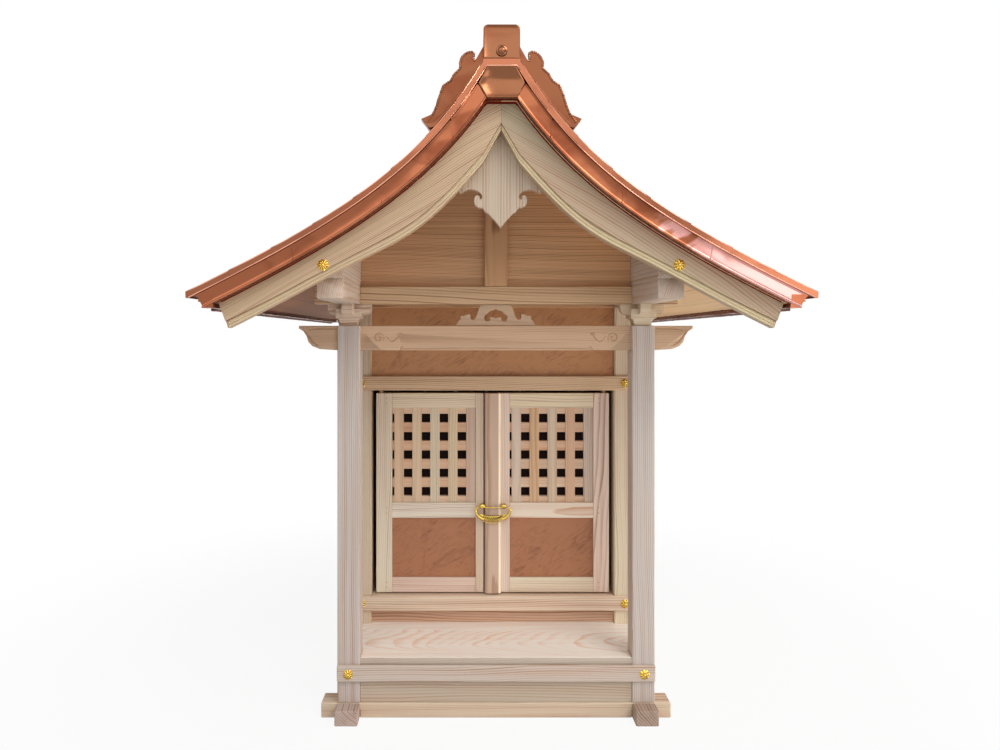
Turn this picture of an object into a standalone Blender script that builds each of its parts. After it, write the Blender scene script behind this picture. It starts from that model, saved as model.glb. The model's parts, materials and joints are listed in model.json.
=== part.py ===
"""A small outdoor shrine of plain pale timber under a swept copper roof.

The gable faces the front. Four body posts, two porch posts and two ground sills
carry the roof, and a pair of latticed doors turns on wooden pivots.
Metres, +X to the right seen from the front, +Y to the back, +Z up.
The origin lies on the ground below the middle of the roof.
"""

import math

import bmesh
import bpy
from mathutils import Matrix, Vector

# Fit between pieces that touch, and the small chamfers along the timbers
FIT = 0.0003
CHAMFER = 0.0012
FINE_CHAMFER = 0.0008

# Closer than this, two places or two points count as one
SAME_PLACE = 1e-7
SAME_POINT = 1e-6

# Plan of the timber frame
POST_WIDTH = 0.036
POST_SPACING = 0.474
PORCH_DEPTH = 0.149
BODY_DEPTH = 0.440
ROOF_FRONT_REACH = 0.206
ROOF_BACK_REACH = 0.211

# Ground sills, skirt and floors
SILL_WIDTH = 0.036
SILL_HEIGHT = 0.024
SILL_END_REACH = 0.028
CROSS_SILL_REACH = 0.026
SKIRT_THICKNESS = 0.010
SKIRT_SETBACK = 0.002
FLOOR_TOP = 0.096
FLOOR_THICKNESS = 0.010
FLOOR_RAIL_HEIGHT = 0.026
RAIL_PROUD = 0.0057

# Body walls and the door opening
SILL_RAIL_HEIGHT = 0.026
DOORWAY_BOTTOM = 0.146
DOORWAY_TOP = 0.516
HEAD_RAIL_HEIGHT = 0.026
WALL_THICKNESS = 0.010
WALL_SETBACK = 0.006
FRONT_PANEL_THICKNESS = 0.012
CEILING_THICKNESS = 0.012

# Doors
DOOR_BOTTOM_GAP = 0.0025
DOOR_TOP_GAP = 0.006
DOOR_SIDE_GAP = 0.0077
DOOR_MEETING_GAP = 0.0022
DOOR_THICKNESS = 0.020
DOOR_SETBACK = 0.010
OUTER_STILE = 0.0285
TOP_RAIL = 0.0265
MIDDLE_RAIL = 0.028
BOTTOM_RAIL = 0.027
LOWER_PANEL_HEIGHT = 0.108
WINDOW_WIDTH = 0.152
ASTRAGAL_WIDTH = 0.0288
ASTRAGAL_PROUD = 0.007
LATTICE_BAR = 0.017
LATTICE_ACROSS = 4
LATTICE_ROWS = 5
LATTICE_SIDE_SLIT = 0.0036
LATTICE_HOLE_HEIGHT = 0.016
LATTICE_BAR_HEIGHT = 0.0174
LATTICE_RECESS = 0.003
LATTICE_LAP = 0.0015
LATTICE_THICKNESS = 0.011
PANEL_RECESS = 0.004
PANEL_THICKNESS = 0.006
PIVOT_RADIUS = 0.004
PIVOT_INSET = 0.008
PIVOT_REACH = 0.005
PIVOT_ROOT = 0.006
PIVOT_CLEARANCE = 0.0006
DOOR_CHAMFER = 0.0010

# The curved lock that hangs across the astragal
LOCK_HEIGHT = 0.308
LOCK_BOSS_RADIUS = 0.0040
LOCK_BOSS_CLEARANCE = 0.0013
LOCK_BOSS_SPACING = ASTRAGAL_WIDTH + 2 * (LOCK_BOSS_RADIUS + LOCK_BOSS_CLEARANCE)
LOCK_WIDTH = 0.067
LOCK_DROP = 0.0265
LOCK_END_RADIUS = 0.0017
LOCK_BELLY_RADIUS = 0.0066
LOCK_BELLY_FLATNESS = 0.5
LOCK_BAR_RADIUS = 0.0013
LOCK_STAND_OFF = 0.0046
LOCK_BOSS_PROUD = 0.0028
LOCK_SWING_GAP = 0.0012
LOCK_SAG = 0.002
LOCK_STEPS = 28
LOCK_SIDES = 8

# Head of the porch
PORCH_POST_TOP = 0.6304
RAINBOW_BEAM_DEPTH = 0.040
RAINBOW_BEAM_THICKNESS = 0.018
NOSE_REACH = 0.064
BRACKET_WIDTH = 0.0405
BRACKET_FOOT = 0.027
BRACKET_FACE = 0.015
BRACKET_HEIGHT = 0.0346
BRACKET_SEAT = 0.0075
ARM_SECTION = 0.017
ARM_LENGTH = 0.070
PURLIN_WIDTH = 0.0366
PURLIN_DEPTH = 0.0622
PURLIN_FRONT_REACH = 0.166
TIE_BEAM_HEIGHT = 0.028
TIE_BEAM_THICKNESS = 0.030
TIE_BEAM_END_REACH = 0.037
FROG_LEG_THICKNESS = 0.012
FROG_LEG_REACH = 0.0645
GABLE_WALL_THICKNESS = 0.008
GABLE_WALL_SETBACK = 0.0120
GABLE_STRUT_WIDTH = 0.037
RIDGE_BEAM_WIDTH = 0.036
RIDGE_BEAM_DEPTH = 0.048

# Roof: the top line falls from the ridge with a slope that eases outwards
ROOF_HALF_WIDTH = 0.423
RIDGE_WIDTH = 0.0495
SLOPE_AT_EAVE = 0.4646
SLOPE_ADDED_AT_RIDGE = 1.2275
SLOPE_EASING = 0.105
ROOF_THICKNESS = 0.0295
TOP_SHEET_THICKNESS = 0.0080
TOP_SHEET_OVERLAP = 0.004
EAVE_OVERLAP = 0.012
EAVE_SLANT = 0.010
EDGE_STRIP_WIDTH = 0.012
EAVE_SHEET_SLANT = 0.002
LEVEL_THICKNESS = 0.0515
ROOF_STATIONS = 26
RIDGE_COVER_HEIGHT = 0.0474
RIDGE_COVER_ROUNDING = 0.006
RIDGE_BOARD_THICKNESS = 0.014
RIDGE_BOARD_SETBACK = 0.012
RIDGE_BOARD_BRIDGE = 0.020
RIDGE_WING_LENGTH = 0.0838
RIDGE_WING_HEIGHT = 0.050
BARGEBOARD_THICKNESS = 0.020
BARGEBOARD_END = 0.385
BARGEBOARD_END_SLANT = 0.012
BARGEBOARD_DEPTH = 0.036
BARGEBOARD_SWELL = 0.010
BARGEBOARD_SWELL_AT = 0.115
BARGEBOARD_SWELL_SPREAD = 0.075
BARGEBOARD_REBATE = 0.003
BARGEBOARD_REBATE_HEIGHT = 0.0085
BARGEBOARD_REBATE_NARROWED = 0.0040
BARGEBOARD_REBATE_EASING = 0.05
PENDANT_THICKNESS = 0.010
PENDANT_HALF_WIDTH = 0.059
PENDANT_TIP_DROP = 0.1693
PENDANT_TOP_DROP = 0.0270

# Carved outlines, from the middle outwards or from the top down. Each pair is a share of
# the width and a share of the height of the carving.
FROG_LEG_OUTLINE = (
    (1.000, 0.000), (1.000, 0.047), (0.868, 0.239), (0.845, 0.379), (0.617, 0.472), (0.636, 0.341),
    (0.555, 0.251), (0.478, 0.373), (0.431, 0.627), (0.384, 0.793), (0.264, 0.863), (0.264, 1.000))
FROG_LEG_EYE = (
    (0.000, 0.656), (0.155, 0.554), (0.276, 0.350), (0.202, 0.155), (0.143, 0.286), (0.000, 0.251))
NOSE_OUTLINE = (
    (0.812, 0.020), (0.531, 0.050), (0.344, 0.165), (0.242, 0.337), (0.195, 0.578), (0.117, 0.770),
    (0.000, 0.880))
PENDANT_OUTLINE = (
    (0.203, 1.000), (1.000, 0.371), (0.766, 0.392), (0.644, 0.385), (0.536, 0.374), (0.454, 0.346),
    (0.420, 0.314), (0.454, 0.283), (0.493, 0.280), (0.529, 0.304), (0.581, 0.312), (0.620, 0.284),
    (0.610, 0.243), (0.554, 0.201), (0.447, 0.180), (0.364, 0.143), (0.251, 0.109), (0.132, 0.067),
    (0.000, 0.000))
RIDGE_WING_OUTLINE = (
    (0.138, 0.382), (0.164, 0.538), (0.147, 0.610), (0.190, 0.782), (0.269, 0.948), (0.340, 1.000),
    (0.371, 0.924), (0.366, 0.754), (0.471, 0.828), (0.524, 0.766), (0.637, 0.886), (0.698, 0.742),
    (0.750, 0.550), (0.803, 0.444), (1.000, 0.654), (0.934, 0.400))

# Places worked out from the sizes above
ROOF_LENGTH = ROOF_FRONT_REACH + PORCH_DEPTH + BODY_DEPTH + ROOF_BACK_REACH
ROOF_FRONT_Y = -ROOF_LENGTH / 2
ROOF_BACK_Y = ROOF_LENGTH / 2
PORCH_Y = ROOF_FRONT_Y + ROOF_FRONT_REACH
BODY_Y = PORCH_Y + PORCH_DEPTH
BODY_BACK_Y = BODY_Y + BODY_DEPTH
BEAM_FRONT_Y = PORCH_Y - PURLIN_FRONT_REACH
BEAM_BACK_Y = ROOF_BACK_Y - (ROOF_FRONT_REACH - PURLIN_FRONT_REACH)
POST_X = POST_SPACING / 2
POST_INNER_X = POST_X - POST_WIDTH / 2
POST_OUTER_X = POST_X + POST_WIDTH / 2
FLOOR_BOTTOM = FLOOR_TOP - FLOOR_THICKNESS
FLOOR_RAIL_BOTTOM = FLOOR_BOTTOM - FLOOR_RAIL_HEIGHT
PURLIN_BOTTOM = PORCH_POST_TOP + BRACKET_HEIGHT
PURLIN_OUTER_X = POST_X + PURLIN_WIDTH / 2
RIDGE_HALF = RIDGE_WIDTH / 2
DOOR_BOTTOM = DOORWAY_BOTTOM + DOOR_BOTTOM_GAP
DOOR_TOP = DOORWAY_TOP - DOOR_TOP_GAP
DOOR_OUTER_X = POST_INNER_X - DOOR_SIDE_GAP
DOOR_FRONT_Y = BODY_Y + DOOR_SETBACK
DOOR_BACK_Y = DOOR_FRONT_Y + DOOR_THICKNESS
HINGE_X = DOOR_OUTER_X - PIVOT_INSET
HINGE_Y = DOOR_FRONT_Y + DOOR_THICKNESS / 2
PANEL_BOTTOM = DOOR_BOTTOM + BOTTOM_RAIL
PANEL_TOP = PANEL_BOTTOM + LOWER_PANEL_HEIGHT
WINDOW_BOTTOM = PANEL_TOP + MIDDLE_RAIL
WINDOW_TOP = DOOR_TOP - TOP_RAIL
WINDOW_OUTER_X = DOOR_OUTER_X - OUTER_STILE
WINDOW_INNER_X = WINDOW_OUTER_X - WINDOW_WIDTH
MEETING_X = -ASTRAGAL_WIDTH / 2
SIDE_WALL_X = POST_X - WALL_THICKNESS / 2


def roof_fall(x):
    """How far the roof's top line has dropped below the ridge, carried on as a straight rafter inside it."""
    out = abs(x) - RIDGE_HALF
    eased = SLOPE_ADDED_AT_RIDGE * SLOPE_EASING * (1 - math.exp(-max(out, 0) / SLOPE_EASING))
    inside = (SLOPE_AT_EAVE + SLOPE_ADDED_AT_RIDGE) * min(out, 0)
    return SLOPE_AT_EAVE * max(out, 0) + eased + inside


def roof_slope(x):
    return SLOPE_AT_EAVE + SLOPE_ADDED_AT_RIDGE * math.exp(-max(abs(x) - RIDGE_HALF, 0) / SLOPE_EASING)


# The roof rests on the outer corners of the two purlins, which sets the height of the ridge
RIDGE_HEIGHT = (PURLIN_BOTTOM + PURLIN_DEPTH + FIT + roof_fall(PURLIN_OUTER_X)
                + ROOF_THICKNESS * math.hypot(1, roof_slope(PURLIN_OUTER_X)))


def clear_scene():
    for item in list(bpy.data.objects):
        bpy.data.objects.remove(item, do_unlink=True)


def timber(name, colour, roughness=0.55):
    material = bpy.data.materials.new(name)
    material.use_nodes = True
    shader = material.node_tree.nodes["Principled BSDF"]
    shader.inputs["Base Color"].default_value = (*colour, 1.0)
    shader.inputs["Roughness"].default_value = roughness
    return material


def metal(name, colour, roughness):
    material = timber(name, colour, roughness)
    material.node_tree.nodes["Principled BSDF"].inputs["Metallic"].default_value = 1.0
    return material


def add_mesh(name, build, material, smooth=False):
    """Makes one object from a function that fills a bmesh."""
    mesh = bpy.data.meshes.new(name)
    work = bmesh.new()
    build(work)
    bmesh.ops.recalc_face_normals(work, faces=work.faces)
    work.to_mesh(mesh)
    work.free()
    if smooth:
        mesh.shade_smooth()
        mesh.set_sharp_from_angle(angle=math.radians(40))
    piece = bpy.data.objects.new(name, mesh)
    piece.data.materials.append(material)
    bpy.context.scene.collection.objects.link(piece)
    return piece


def chamfer(piece, width=CHAMFER):
    """Planes off the outward corners only, so that inner corners stay square for what fits there."""
    work = bmesh.new()
    work.from_mesh(piece.data)
    weights = work.edges.layers.float.get("bevel_weight_edge")
    if weights is None:
        weights = work.edges.layers.float.new("bevel_weight_edge")
    for edge in work.edges:
        outward = edge.is_manifold and edge.calc_face_angle_signed() > math.radians(50)
        edge[weights] = 1.0 if outward else 0.0
    work.to_mesh(piece.data)
    work.free()
    bevel = piece.modifiers.new("chamfer", "BEVEL")
    bevel.width = width
    bevel.segments = 1
    bevel.limit_method = "WEIGHT"
    return piece


def block(name, low, high, material, edge=CHAMFER):
    """A squared timber between two corners."""
    def build(work):
        size = Vector(high) - Vector(low)
        centre = (Vector(high) + Vector(low)) / 2
        bmesh.ops.create_cube(work, size=1.0)
        bmesh.ops.scale(work, vec=size, verts=work.verts)
        bmesh.ops.translate(work, vec=centre, verts=work.verts)
    piece = add_mesh(name, build, material)
    return chamfer(piece, edge) if edge else piece


def prism(name, outline, axis, low, high, material, edge=0.0, smooth=False):
    """An outline sawn from a board: axis names the direction of its thickness."""
    def place(point, depth):
        if axis == "X":
            return (depth, point[0], point[1])
        if axis == "Y":
            return (point[0], depth, point[1])
        return (point[0], point[1], depth)

    def build(work):
        first = [work.verts.new(place(point, low)) for point in outline]
        second = [work.verts.new(place(point, high)) for point in outline]
        work.faces.new(first)
        work.faces.new(second[::-1])
        for index in range(len(outline)):
            after = (index + 1) % len(outline)
            work.faces.new((first[index], first[after], second[after], second[index]))
    piece = add_mesh(name, build, material, smooth)
    return chamfer(piece, edge) if edge else piece


def loft(name, rings, material, smooth=False):
    """Skins a row of rings that all have as many points, and closes both ends."""
    def build(work):
        rows = [[work.verts.new(point) for point in ring] for ring in rings]
        count = len(rings[0])
        for row, following in zip(rows, rows[1:]):
            for index in range(count):
                after = (index + 1) % count
                work.faces.new((row[index], row[after], following[after], following[index]))
        work.faces.new(rows[0])
        work.faces.new(rows[-1][::-1])
    return add_mesh(name, build, material, smooth)


def relief(name, x_cuts, z_cuts, front_y, back_y, material):
    """A frame or grille: cell fronts come from front_y(column, row), None is open."""
    columns = len(x_cuts) - 1
    rows = len(z_cuts) - 1

    def front(column, row):
        if 0 <= column < columns and 0 <= row < rows:
            return front_y(column, row)
        return None

    def build(work):
        corners = {}

        def corner(x, y, z):
            key = (round(x, 6), round(y, 6), round(z, 6))
            if key not in corners:
                corners[key] = work.verts.new((x, y, z))
            return corners[key]

        levels = {}
        for column in range(columns):
            for row in range(rows):
                if front(column, row) is not None:
                    for x in x_cuts[column:column + 2]:
                        for z in z_cuts[row:row + 2]:
                            levels.setdefault((x, z), set()).update((front(column, row), back_y))

        def side(ends, here, beside):
            depths = [back_y if beside is None else beside, here]
            low_y, high_y = min(depths), max(depths)
            if high_y - low_y < SAME_PLACE:
                return
            first, second = ends
            going = [corner(first[0], y, first[1])
                     for y in sorted(levels[first]) if low_y <= y <= high_y]
            coming = [corner(second[0], y, second[1])
                      for y in sorted(levels[second], reverse=True) if low_y <= y <= high_y]
            work.faces.new(going + coming)

        for column in range(columns):
            for row in range(rows):
                here = front(column, row)
                if here is None:
                    continue
                left, right = x_cuts[column], x_cuts[column + 1]
                low, high = z_cuts[row], z_cuts[row + 1]
                square = [(left, low), (right, low), (right, high), (left, high)]
                work.faces.new([corner(x, here, z) for x, z in square])
                work.faces.new([corner(x, back_y, z) for x, z in square[::-1]])
                neighbours = ((column, row - 1), (column + 1, row), (column, row + 1), (column - 1, row))
                for index, neighbour in enumerate(neighbours):
                    beside = front(*neighbour)
                    if beside is None or here < beside - SAME_PLACE:
                        side((square[index], square[(index + 1) % 4]), here, beside)
    return add_mesh(name, build, material)


def boolean(piece, other, operation):
    """Joins or cuts a piece with a helper shape that is left out of the build."""
    step = piece.modifiers.new(operation.lower(), "BOOLEAN")
    step.operation = operation
    step.solver = "EXACT"
    step.object = other
    other.hide_render = True
    other.display_type = "WIRE"
    other.hide_set(True)
    return piece


def apply_modifiers(piece, helpers=()):
    """Bakes a piece's modifiers into its mesh and removes the helper shapes."""
    graph = bpy.context.evaluated_depsgraph_get()
    result = bpy.data.meshes.new_from_object(piece.evaluated_get(graph))
    piece.modifiers.clear()
    piece.data = result
    for helper in helpers:
        bpy.data.objects.remove(helper, do_unlink=True)
    return piece


def rod(name, centre, radius, length, axis, sides, material):
    def build(work):
        bmesh.ops.create_cone(work, cap_ends=True, segments=sides, radius1=radius,
                              radius2=radius, depth=length)
        turn = {"X": Matrix.Rotation(math.pi / 2, 4, "Y"),
                "Y": Matrix.Rotation(math.pi / 2, 4, "X"),
                "Z": Matrix.Identity(4)}[axis]
        bmesh.ops.transform(work, matrix=Matrix.Translation(centre) @ turn, verts=work.verts)
    return add_mesh(name, build, material, smooth=True)


def below_roof(x, depth):
    """A line that lies a square depth below the roof's top line."""
    return RIDGE_HEIGHT - roof_fall(x) - depth * math.hypot(1, roof_slope(x))


def layer_line(x, depth):
    """A face between two layers of the roof. Under the ridge it runs level."""
    level = LEVEL_THICKNESS if depth == ROOF_THICKNESS else depth
    return min(below_roof(x, depth), RIDGE_HEIGHT - level)


def roof_top(x):
    return layer_line(x, 0.0)


def roof_under(x):
    return layer_line(x, ROOF_THICKNESS)


def level_reach(depth):
    """How far from the middle the level stretch of a layer line runs."""
    level = LEVEL_THICKNESS if depth == ROOF_THICKNESS else depth
    slope = SLOPE_AT_EAVE + SLOPE_ADDED_AT_RIDGE
    return RIDGE_HALF - (depth * math.hypot(1, slope) - level) / slope


def sweep_places(reach, *depths):
    """Places across the roof, closer together near the ridge, and shared by all layers.

    Neighbouring faces then bend at the same spots and keep their distance.
    """
    start = FIT / 2
    ease = [(step / ROOF_STATIONS) ** 1.25 for step in range(ROOF_STATIONS)]
    shared = [start + (ROOF_HALF_WIDTH - start) * share for share in ease]
    corners = {RIDGE_HALF, reach} | {level_reach(depth) for depth in depths}
    return sorted({x for x in shared if x < reach - FIT} | corners)


def roof_layer(name, side, upper, lower, reach, slant, y_low, y_high, material):
    """One swept layer of the roof between two square depths, on one side."""
    start = FIT / 2
    rings = []
    for x in sweep_places(reach, upper, lower):
        foot = x - slant * ((x - start) / (reach - start)) ** 3
        top_z = layer_line(x, upper)
        foot_z = layer_line(foot, lower)
        ring = [(side * x, y_low, top_z), (side * x, y_high, top_z),
                (side * foot, y_high, foot_z), (side * foot, y_low, foot_z)]
        rings.append(ring)
    return loft(name, rings, material)


def arc(centre, radius, start, end, steps):
    """Points along a round stretch, angles in degrees."""
    points = []
    for step in range(steps + 1):
        angle = math.radians(start + (end - start) * step / steps)
        points.append((centre[0] + radius * math.cos(angle), centre[1] + radius * math.sin(angle)))
    return points


def mirrored(points):
    """Completes a half outline, given from the middle outwards, on the other side."""
    return points + [(-x, z) for x, z in points[::-1]]


# Ground work

def build_sills(wood):
    """Long sills under the posts, halved over the cross sills at the corners."""
    half_lap = SILL_HEIGHT / 2
    cross_front = [PORCH_Y, BODY_BACK_Y - POST_WIDTH]
    ends = (PORCH_Y - SILL_END_REACH, BODY_BACK_Y + SILL_END_REACH)
    side_outline = [(ends[0], 0), (ends[1], 0), (ends[1], SILL_HEIGHT)]
    for start in cross_front[::-1]:
        back, front = start + POST_WIDTH + FIT, start - FIT
        side_outline += [(back, SILL_HEIGHT), (back, half_lap), (front, half_lap), (front, SILL_HEIGHT)]
    side_outline.append((ends[0], SILL_HEIGHT))
    for label, side in (("left", -1), ("right", 1)):
        inner = side * POST_X - SILL_WIDTH / 2
        prism("sill_" + label, side_outline, "X", inner, inner + SILL_WIDTH, wood, CHAMFER)
    tip = POST_OUTER_X + CROSS_SILL_REACH
    lap_low, lap_high = POST_X - SILL_WIDTH / 2 - FIT, POST_X + SILL_WIDTH / 2 + FIT
    lap_z = half_lap + FIT
    cross_outline = [(-tip, 0), (-lap_high, 0), (-lap_high, lap_z), (-lap_low, lap_z), (-lap_low, 0),
                     (lap_low, 0), (lap_low, lap_z), (lap_high, lap_z), (lap_high, 0), (tip, 0),
                     (tip, SILL_HEIGHT), (-tip, SILL_HEIGHT)]
    for label, front in zip(("front", "back"), cross_front):
        prism("cross_sill_" + label, cross_outline, "Y", front, front + POST_WIDTH, wood, CHAMFER)


def build_posts(wood):
    """Porch posts are slotted at the top for the rainbow beam; body posts run to the purlins."""
    foot = SILL_HEIGHT + FIT
    slot_z = PORCH_POST_TOP - RAINBOW_BEAM_DEPTH - FIT
    slot_front = PORCH_Y + (POST_WIDTH - RAINBOW_BEAM_THICKNESS) / 2 - FIT
    slot_back = slot_front + RAINBOW_BEAM_THICKNESS + 2 * FIT
    back_y = PORCH_Y + POST_WIDTH
    outline = [(PORCH_Y, foot), (back_y, foot), (back_y, PORCH_POST_TOP), (slot_back, PORCH_POST_TOP),
               (slot_back, slot_z), (slot_front, slot_z), (slot_front, PORCH_POST_TOP),
               (PORCH_Y, PORCH_POST_TOP)]
    for label, side in (("left", -1), ("right", 1)):
        low_x = side * POST_X - POST_WIDTH / 2
        prism("porch_post_" + label, outline, "X", low_x, low_x + POST_WIDTH, wood, CHAMFER)
        for row, front in (("front", BODY_Y), ("back", BODY_BACK_Y - POST_WIDTH)):
            block(f"body_post_{row}_{label}", (low_x, front, foot),
                  (low_x + POST_WIDTH, front + POST_WIDTH, PURLIN_BOTTOM - FIT), wood)


def build_base(wood):
    """The skirt between the porch posts, the boards round the sides and the front floor rail."""
    foot = SILL_HEIGHT + FIT
    top = FLOOR_BOTTOM - FIT
    front = PORCH_Y + SKIRT_SETBACK
    reach = POST_INNER_X - FIT
    block("front_skirt_board", (-reach, front, foot), (reach, front + SKIRT_THICKNESS, top), wood, FINE_CHAMFER)
    block("front_floor_rail", (-POST_OUTER_X, PORCH_Y - RAIL_PROUD, FLOOR_RAIL_BOTTOM),
          (POST_OUTER_X, PORCH_Y - FIT, FLOOR_RAIL_BOTTOM + FLOOR_RAIL_HEIGHT), wood)
    start = front + SKIRT_THICKNESS + FIT
    inner = reach - SKIRT_THICKNESS
    end = BODY_BACK_Y - POST_WIDTH / 2
    outline = [(-reach, start), (-inner, start), (-inner, end - SKIRT_THICKNESS),
               (inner, end - SKIRT_THICKNESS), (inner, start), (reach, start), (reach, end), (-reach, end)]
    prism("base_boards", outline, "Z", foot, top, wood)


def build_floors(wood):
    """The porch floor is notched round the posts; the body floor lies level with the door sill."""
    front = PORCH_Y + SKIRT_SETBACK
    behind_post = PORCH_Y + POST_WIDTH + FIT
    before_body = BODY_Y - FIT
    inner = POST_INNER_X - FIT
    back = BODY_Y + WALL_SETBACK + FRONT_PANEL_THICKNESS
    half = [(inner, front), (inner, behind_post), (POST_OUTER_X, behind_post),
            (POST_OUTER_X, before_body), (inner, before_body), (inner, back)]
    outline = half + [(-x, y) for x, y in half[::-1]]
    prism("porch_floor", outline, "Z", FLOOR_BOTTOM, FLOOR_TOP, wood, FINE_CHAMFER)
    floor_top = DOORWAY_BOTTOM
    inside = SIDE_WALL_X - FIT
    back_inner = BODY_BACK_Y - POST_WIDTH - FIT
    front_inner = BODY_Y + POST_WIDTH + FIT
    wall_y = BODY_BACK_Y - POST_WIDTH / 2 - WALL_THICKNESS / 2 - FIT
    half = [(inside, front_inner), (inside, back_inner), (inner, back_inner), (inner, wall_y)]
    outline = half + [(-x, y) for x, y in half[::-1]]
    prism("body_floor", outline, "Z", floor_top - FLOOR_THICKNESS, floor_top, wood)


# Body

def lapped_rail(name, bottom, height, wood):
    """A rail that laps over the front of both body posts and fills the space between them."""
    front = BODY_Y - RAIL_PROUD
    face = BODY_Y - FIT
    back = BODY_Y + POST_WIDTH
    inner = POST_INNER_X - FIT
    half = [(POST_OUTER_X, front), (POST_OUTER_X, face), (inner, face), (inner, back)]
    outline = half + [(-x, y) for x, y in half[::-1]]
    rail = prism(name, outline, "Z", bottom, bottom + height, wood, CHAMFER)
    sockets = []
    for label, side in (("left", -1), ("right", 1)):
        socket_z = bottom + height if bottom < DOORWAY_BOTTOM else bottom
        socket = rod(name + "_socket_" + label, (side * HINGE_X, HINGE_Y, socket_z),
                     PIVOT_RADIUS + PIVOT_CLEARANCE, 2 * (PIVOT_REACH + FIT), "Z", 16, wood)
        boolean(rail, socket, "DIFFERENCE")
        sockets.append(socket)
    return apply_modifiers(rail, sockets)


def build_body(wood, panel_wood):
    """Rails, panels and walls that close the body between its four posts."""
    lapped_rail("door_sill_rail", DOORWAY_BOTTOM - SILL_RAIL_HEIGHT, SILL_RAIL_HEIGHT, wood)
    lapped_rail("door_head_rail", DOORWAY_TOP, HEAD_RAIL_HEIGHT, wood)
    inner = POST_INNER_X - FIT
    panel_front = BODY_Y + WALL_SETBACK
    panel_back = panel_front + FRONT_PANEL_THICKNESS
    sill_rail_bottom = DOORWAY_BOTTOM - SILL_RAIL_HEIGHT
    block("sill_panel", (-inner, panel_front, FLOOR_TOP + FIT),
          (inner, panel_back, sill_rail_bottom - FIT), panel_wood, 0.0)
    block("transom_panel", (-inner, panel_front, DOORWAY_TOP + HEAD_RAIL_HEIGHT + FIT),
          (inner, panel_back, PURLIN_BOTTOM - FIT), panel_wood, 0.0)
    wall_front = BODY_Y + POST_WIDTH + FIT
    wall_back = BODY_BACK_Y - POST_WIDTH - FIT
    wall_top = PURLIN_BOTTOM - FIT
    wall_foot = SILL_HEIGHT + FIT
    for label, side in (("left", -1), ("right", 1)):
        low_x = side * POST_X - WALL_THICKNESS / 2
        block("side_wall_" + label, (low_x, wall_front, wall_foot),
              (low_x + WALL_THICKNESS, wall_back, wall_top), wood, 0.0)
    wall_y = BODY_BACK_Y - POST_WIDTH / 2 - WALL_THICKNESS / 2
    block("back_wall", (-inner, wall_y, FLOOR_BOTTOM + FIT),
          (inner, wall_y + WALL_THICKNESS, wall_top), wood, 0.0)
    out = POST_OUTER_X + RAIL_PROUD
    near = POST_OUTER_X + FIT
    start = BODY_Y - RAIL_PROUD
    end = BODY_BACK_Y + RAIL_PROUD
    outline = [(-out, start), (-near, start), (-near, BODY_BACK_Y + FIT), (near, BODY_BACK_Y + FIT),
               (near, start), (out, start), (out, end), (-out, end)]
    for label, bottom, height in (("low", sill_rail_bottom, SILL_RAIL_HEIGHT),
                                  ("high", DOORWAY_TOP, HEAD_RAIL_HEIGHT)):
        prism("body_rail_" + label, outline, "Z", bottom, bottom + height, wood, FINE_CHAMFER)
    purlin_inner = POST_X - PURLIN_WIDTH / 2 - FIT
    block("body_ceiling", (-purlin_inner, BODY_Y, PURLIN_BOTTOM),
          (purlin_inner, BODY_BACK_Y - POST_WIDTH / 2, PURLIN_BOTTOM + CEILING_THICKNESS), wood, FINE_CHAMFER)


# Doors

def door_frame(label, low_x, high_x, window, wood):
    """Stiles and rails of one leaf, with its pivots; the right leaf carries the astragal."""
    x_cuts = [low_x, window[0], window[1], high_x]
    z_cuts = [DOOR_BOTTOM, PANEL_BOTTOM, PANEL_TOP, WINDOW_BOTTOM, WINDOW_TOP, DOOR_TOP]
    raised = label == "right"
    if raised:
        x_cuts.insert(1, low_x + ASTRAGAL_WIDTH)

    def front(column, row):
        if raised and column == 0:
            return DOOR_FRONT_Y - ASTRAGAL_PROUD
        window_column = 2 if raised else 1
        if column == window_column and row in (1, 3):
            return None
        return DOOR_FRONT_Y

    frame = relief(label + "_door_frame", x_cuts, z_cuts, front, DOOR_BACK_Y, wood)
    merge_corners(frame)
    chamfer(frame, DOOR_CHAMFER)
    apply_modifiers(frame)
    hinge_x = HINGE_X if raised else -HINGE_X
    pivots = []
    for place, end_z, way in (("top", DOOR_TOP, 1), ("foot", DOOR_BOTTOM, -1)):
        gap = DOOR_TOP_GAP if way > 0 else DOOR_BOTTOM_GAP
        length = PIVOT_ROOT + gap + PIVOT_REACH
        centre_z = end_z + way * (length / 2 - PIVOT_ROOT)
        pivot = rod(f"{label}_{place}_pivot", (hinge_x, HINGE_Y, centre_z), PIVOT_RADIUS,
                    length, "Z", 12, wood)
        boolean(frame, pivot, "UNION")
        pivots.append(pivot)
    return apply_modifiers(frame, pivots)


def merge_corners(piece):
    """Joins corners that lie on one spot and turns every face outwards."""
    work = bmesh.new()
    work.from_mesh(piece.data)
    bmesh.ops.remove_doubles(work, verts=work.verts, dist=SAME_POINT)
    bmesh.ops.recalc_face_normals(work, faces=work.faces)
    work.to_mesh(piece.data)
    work.free()


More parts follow.
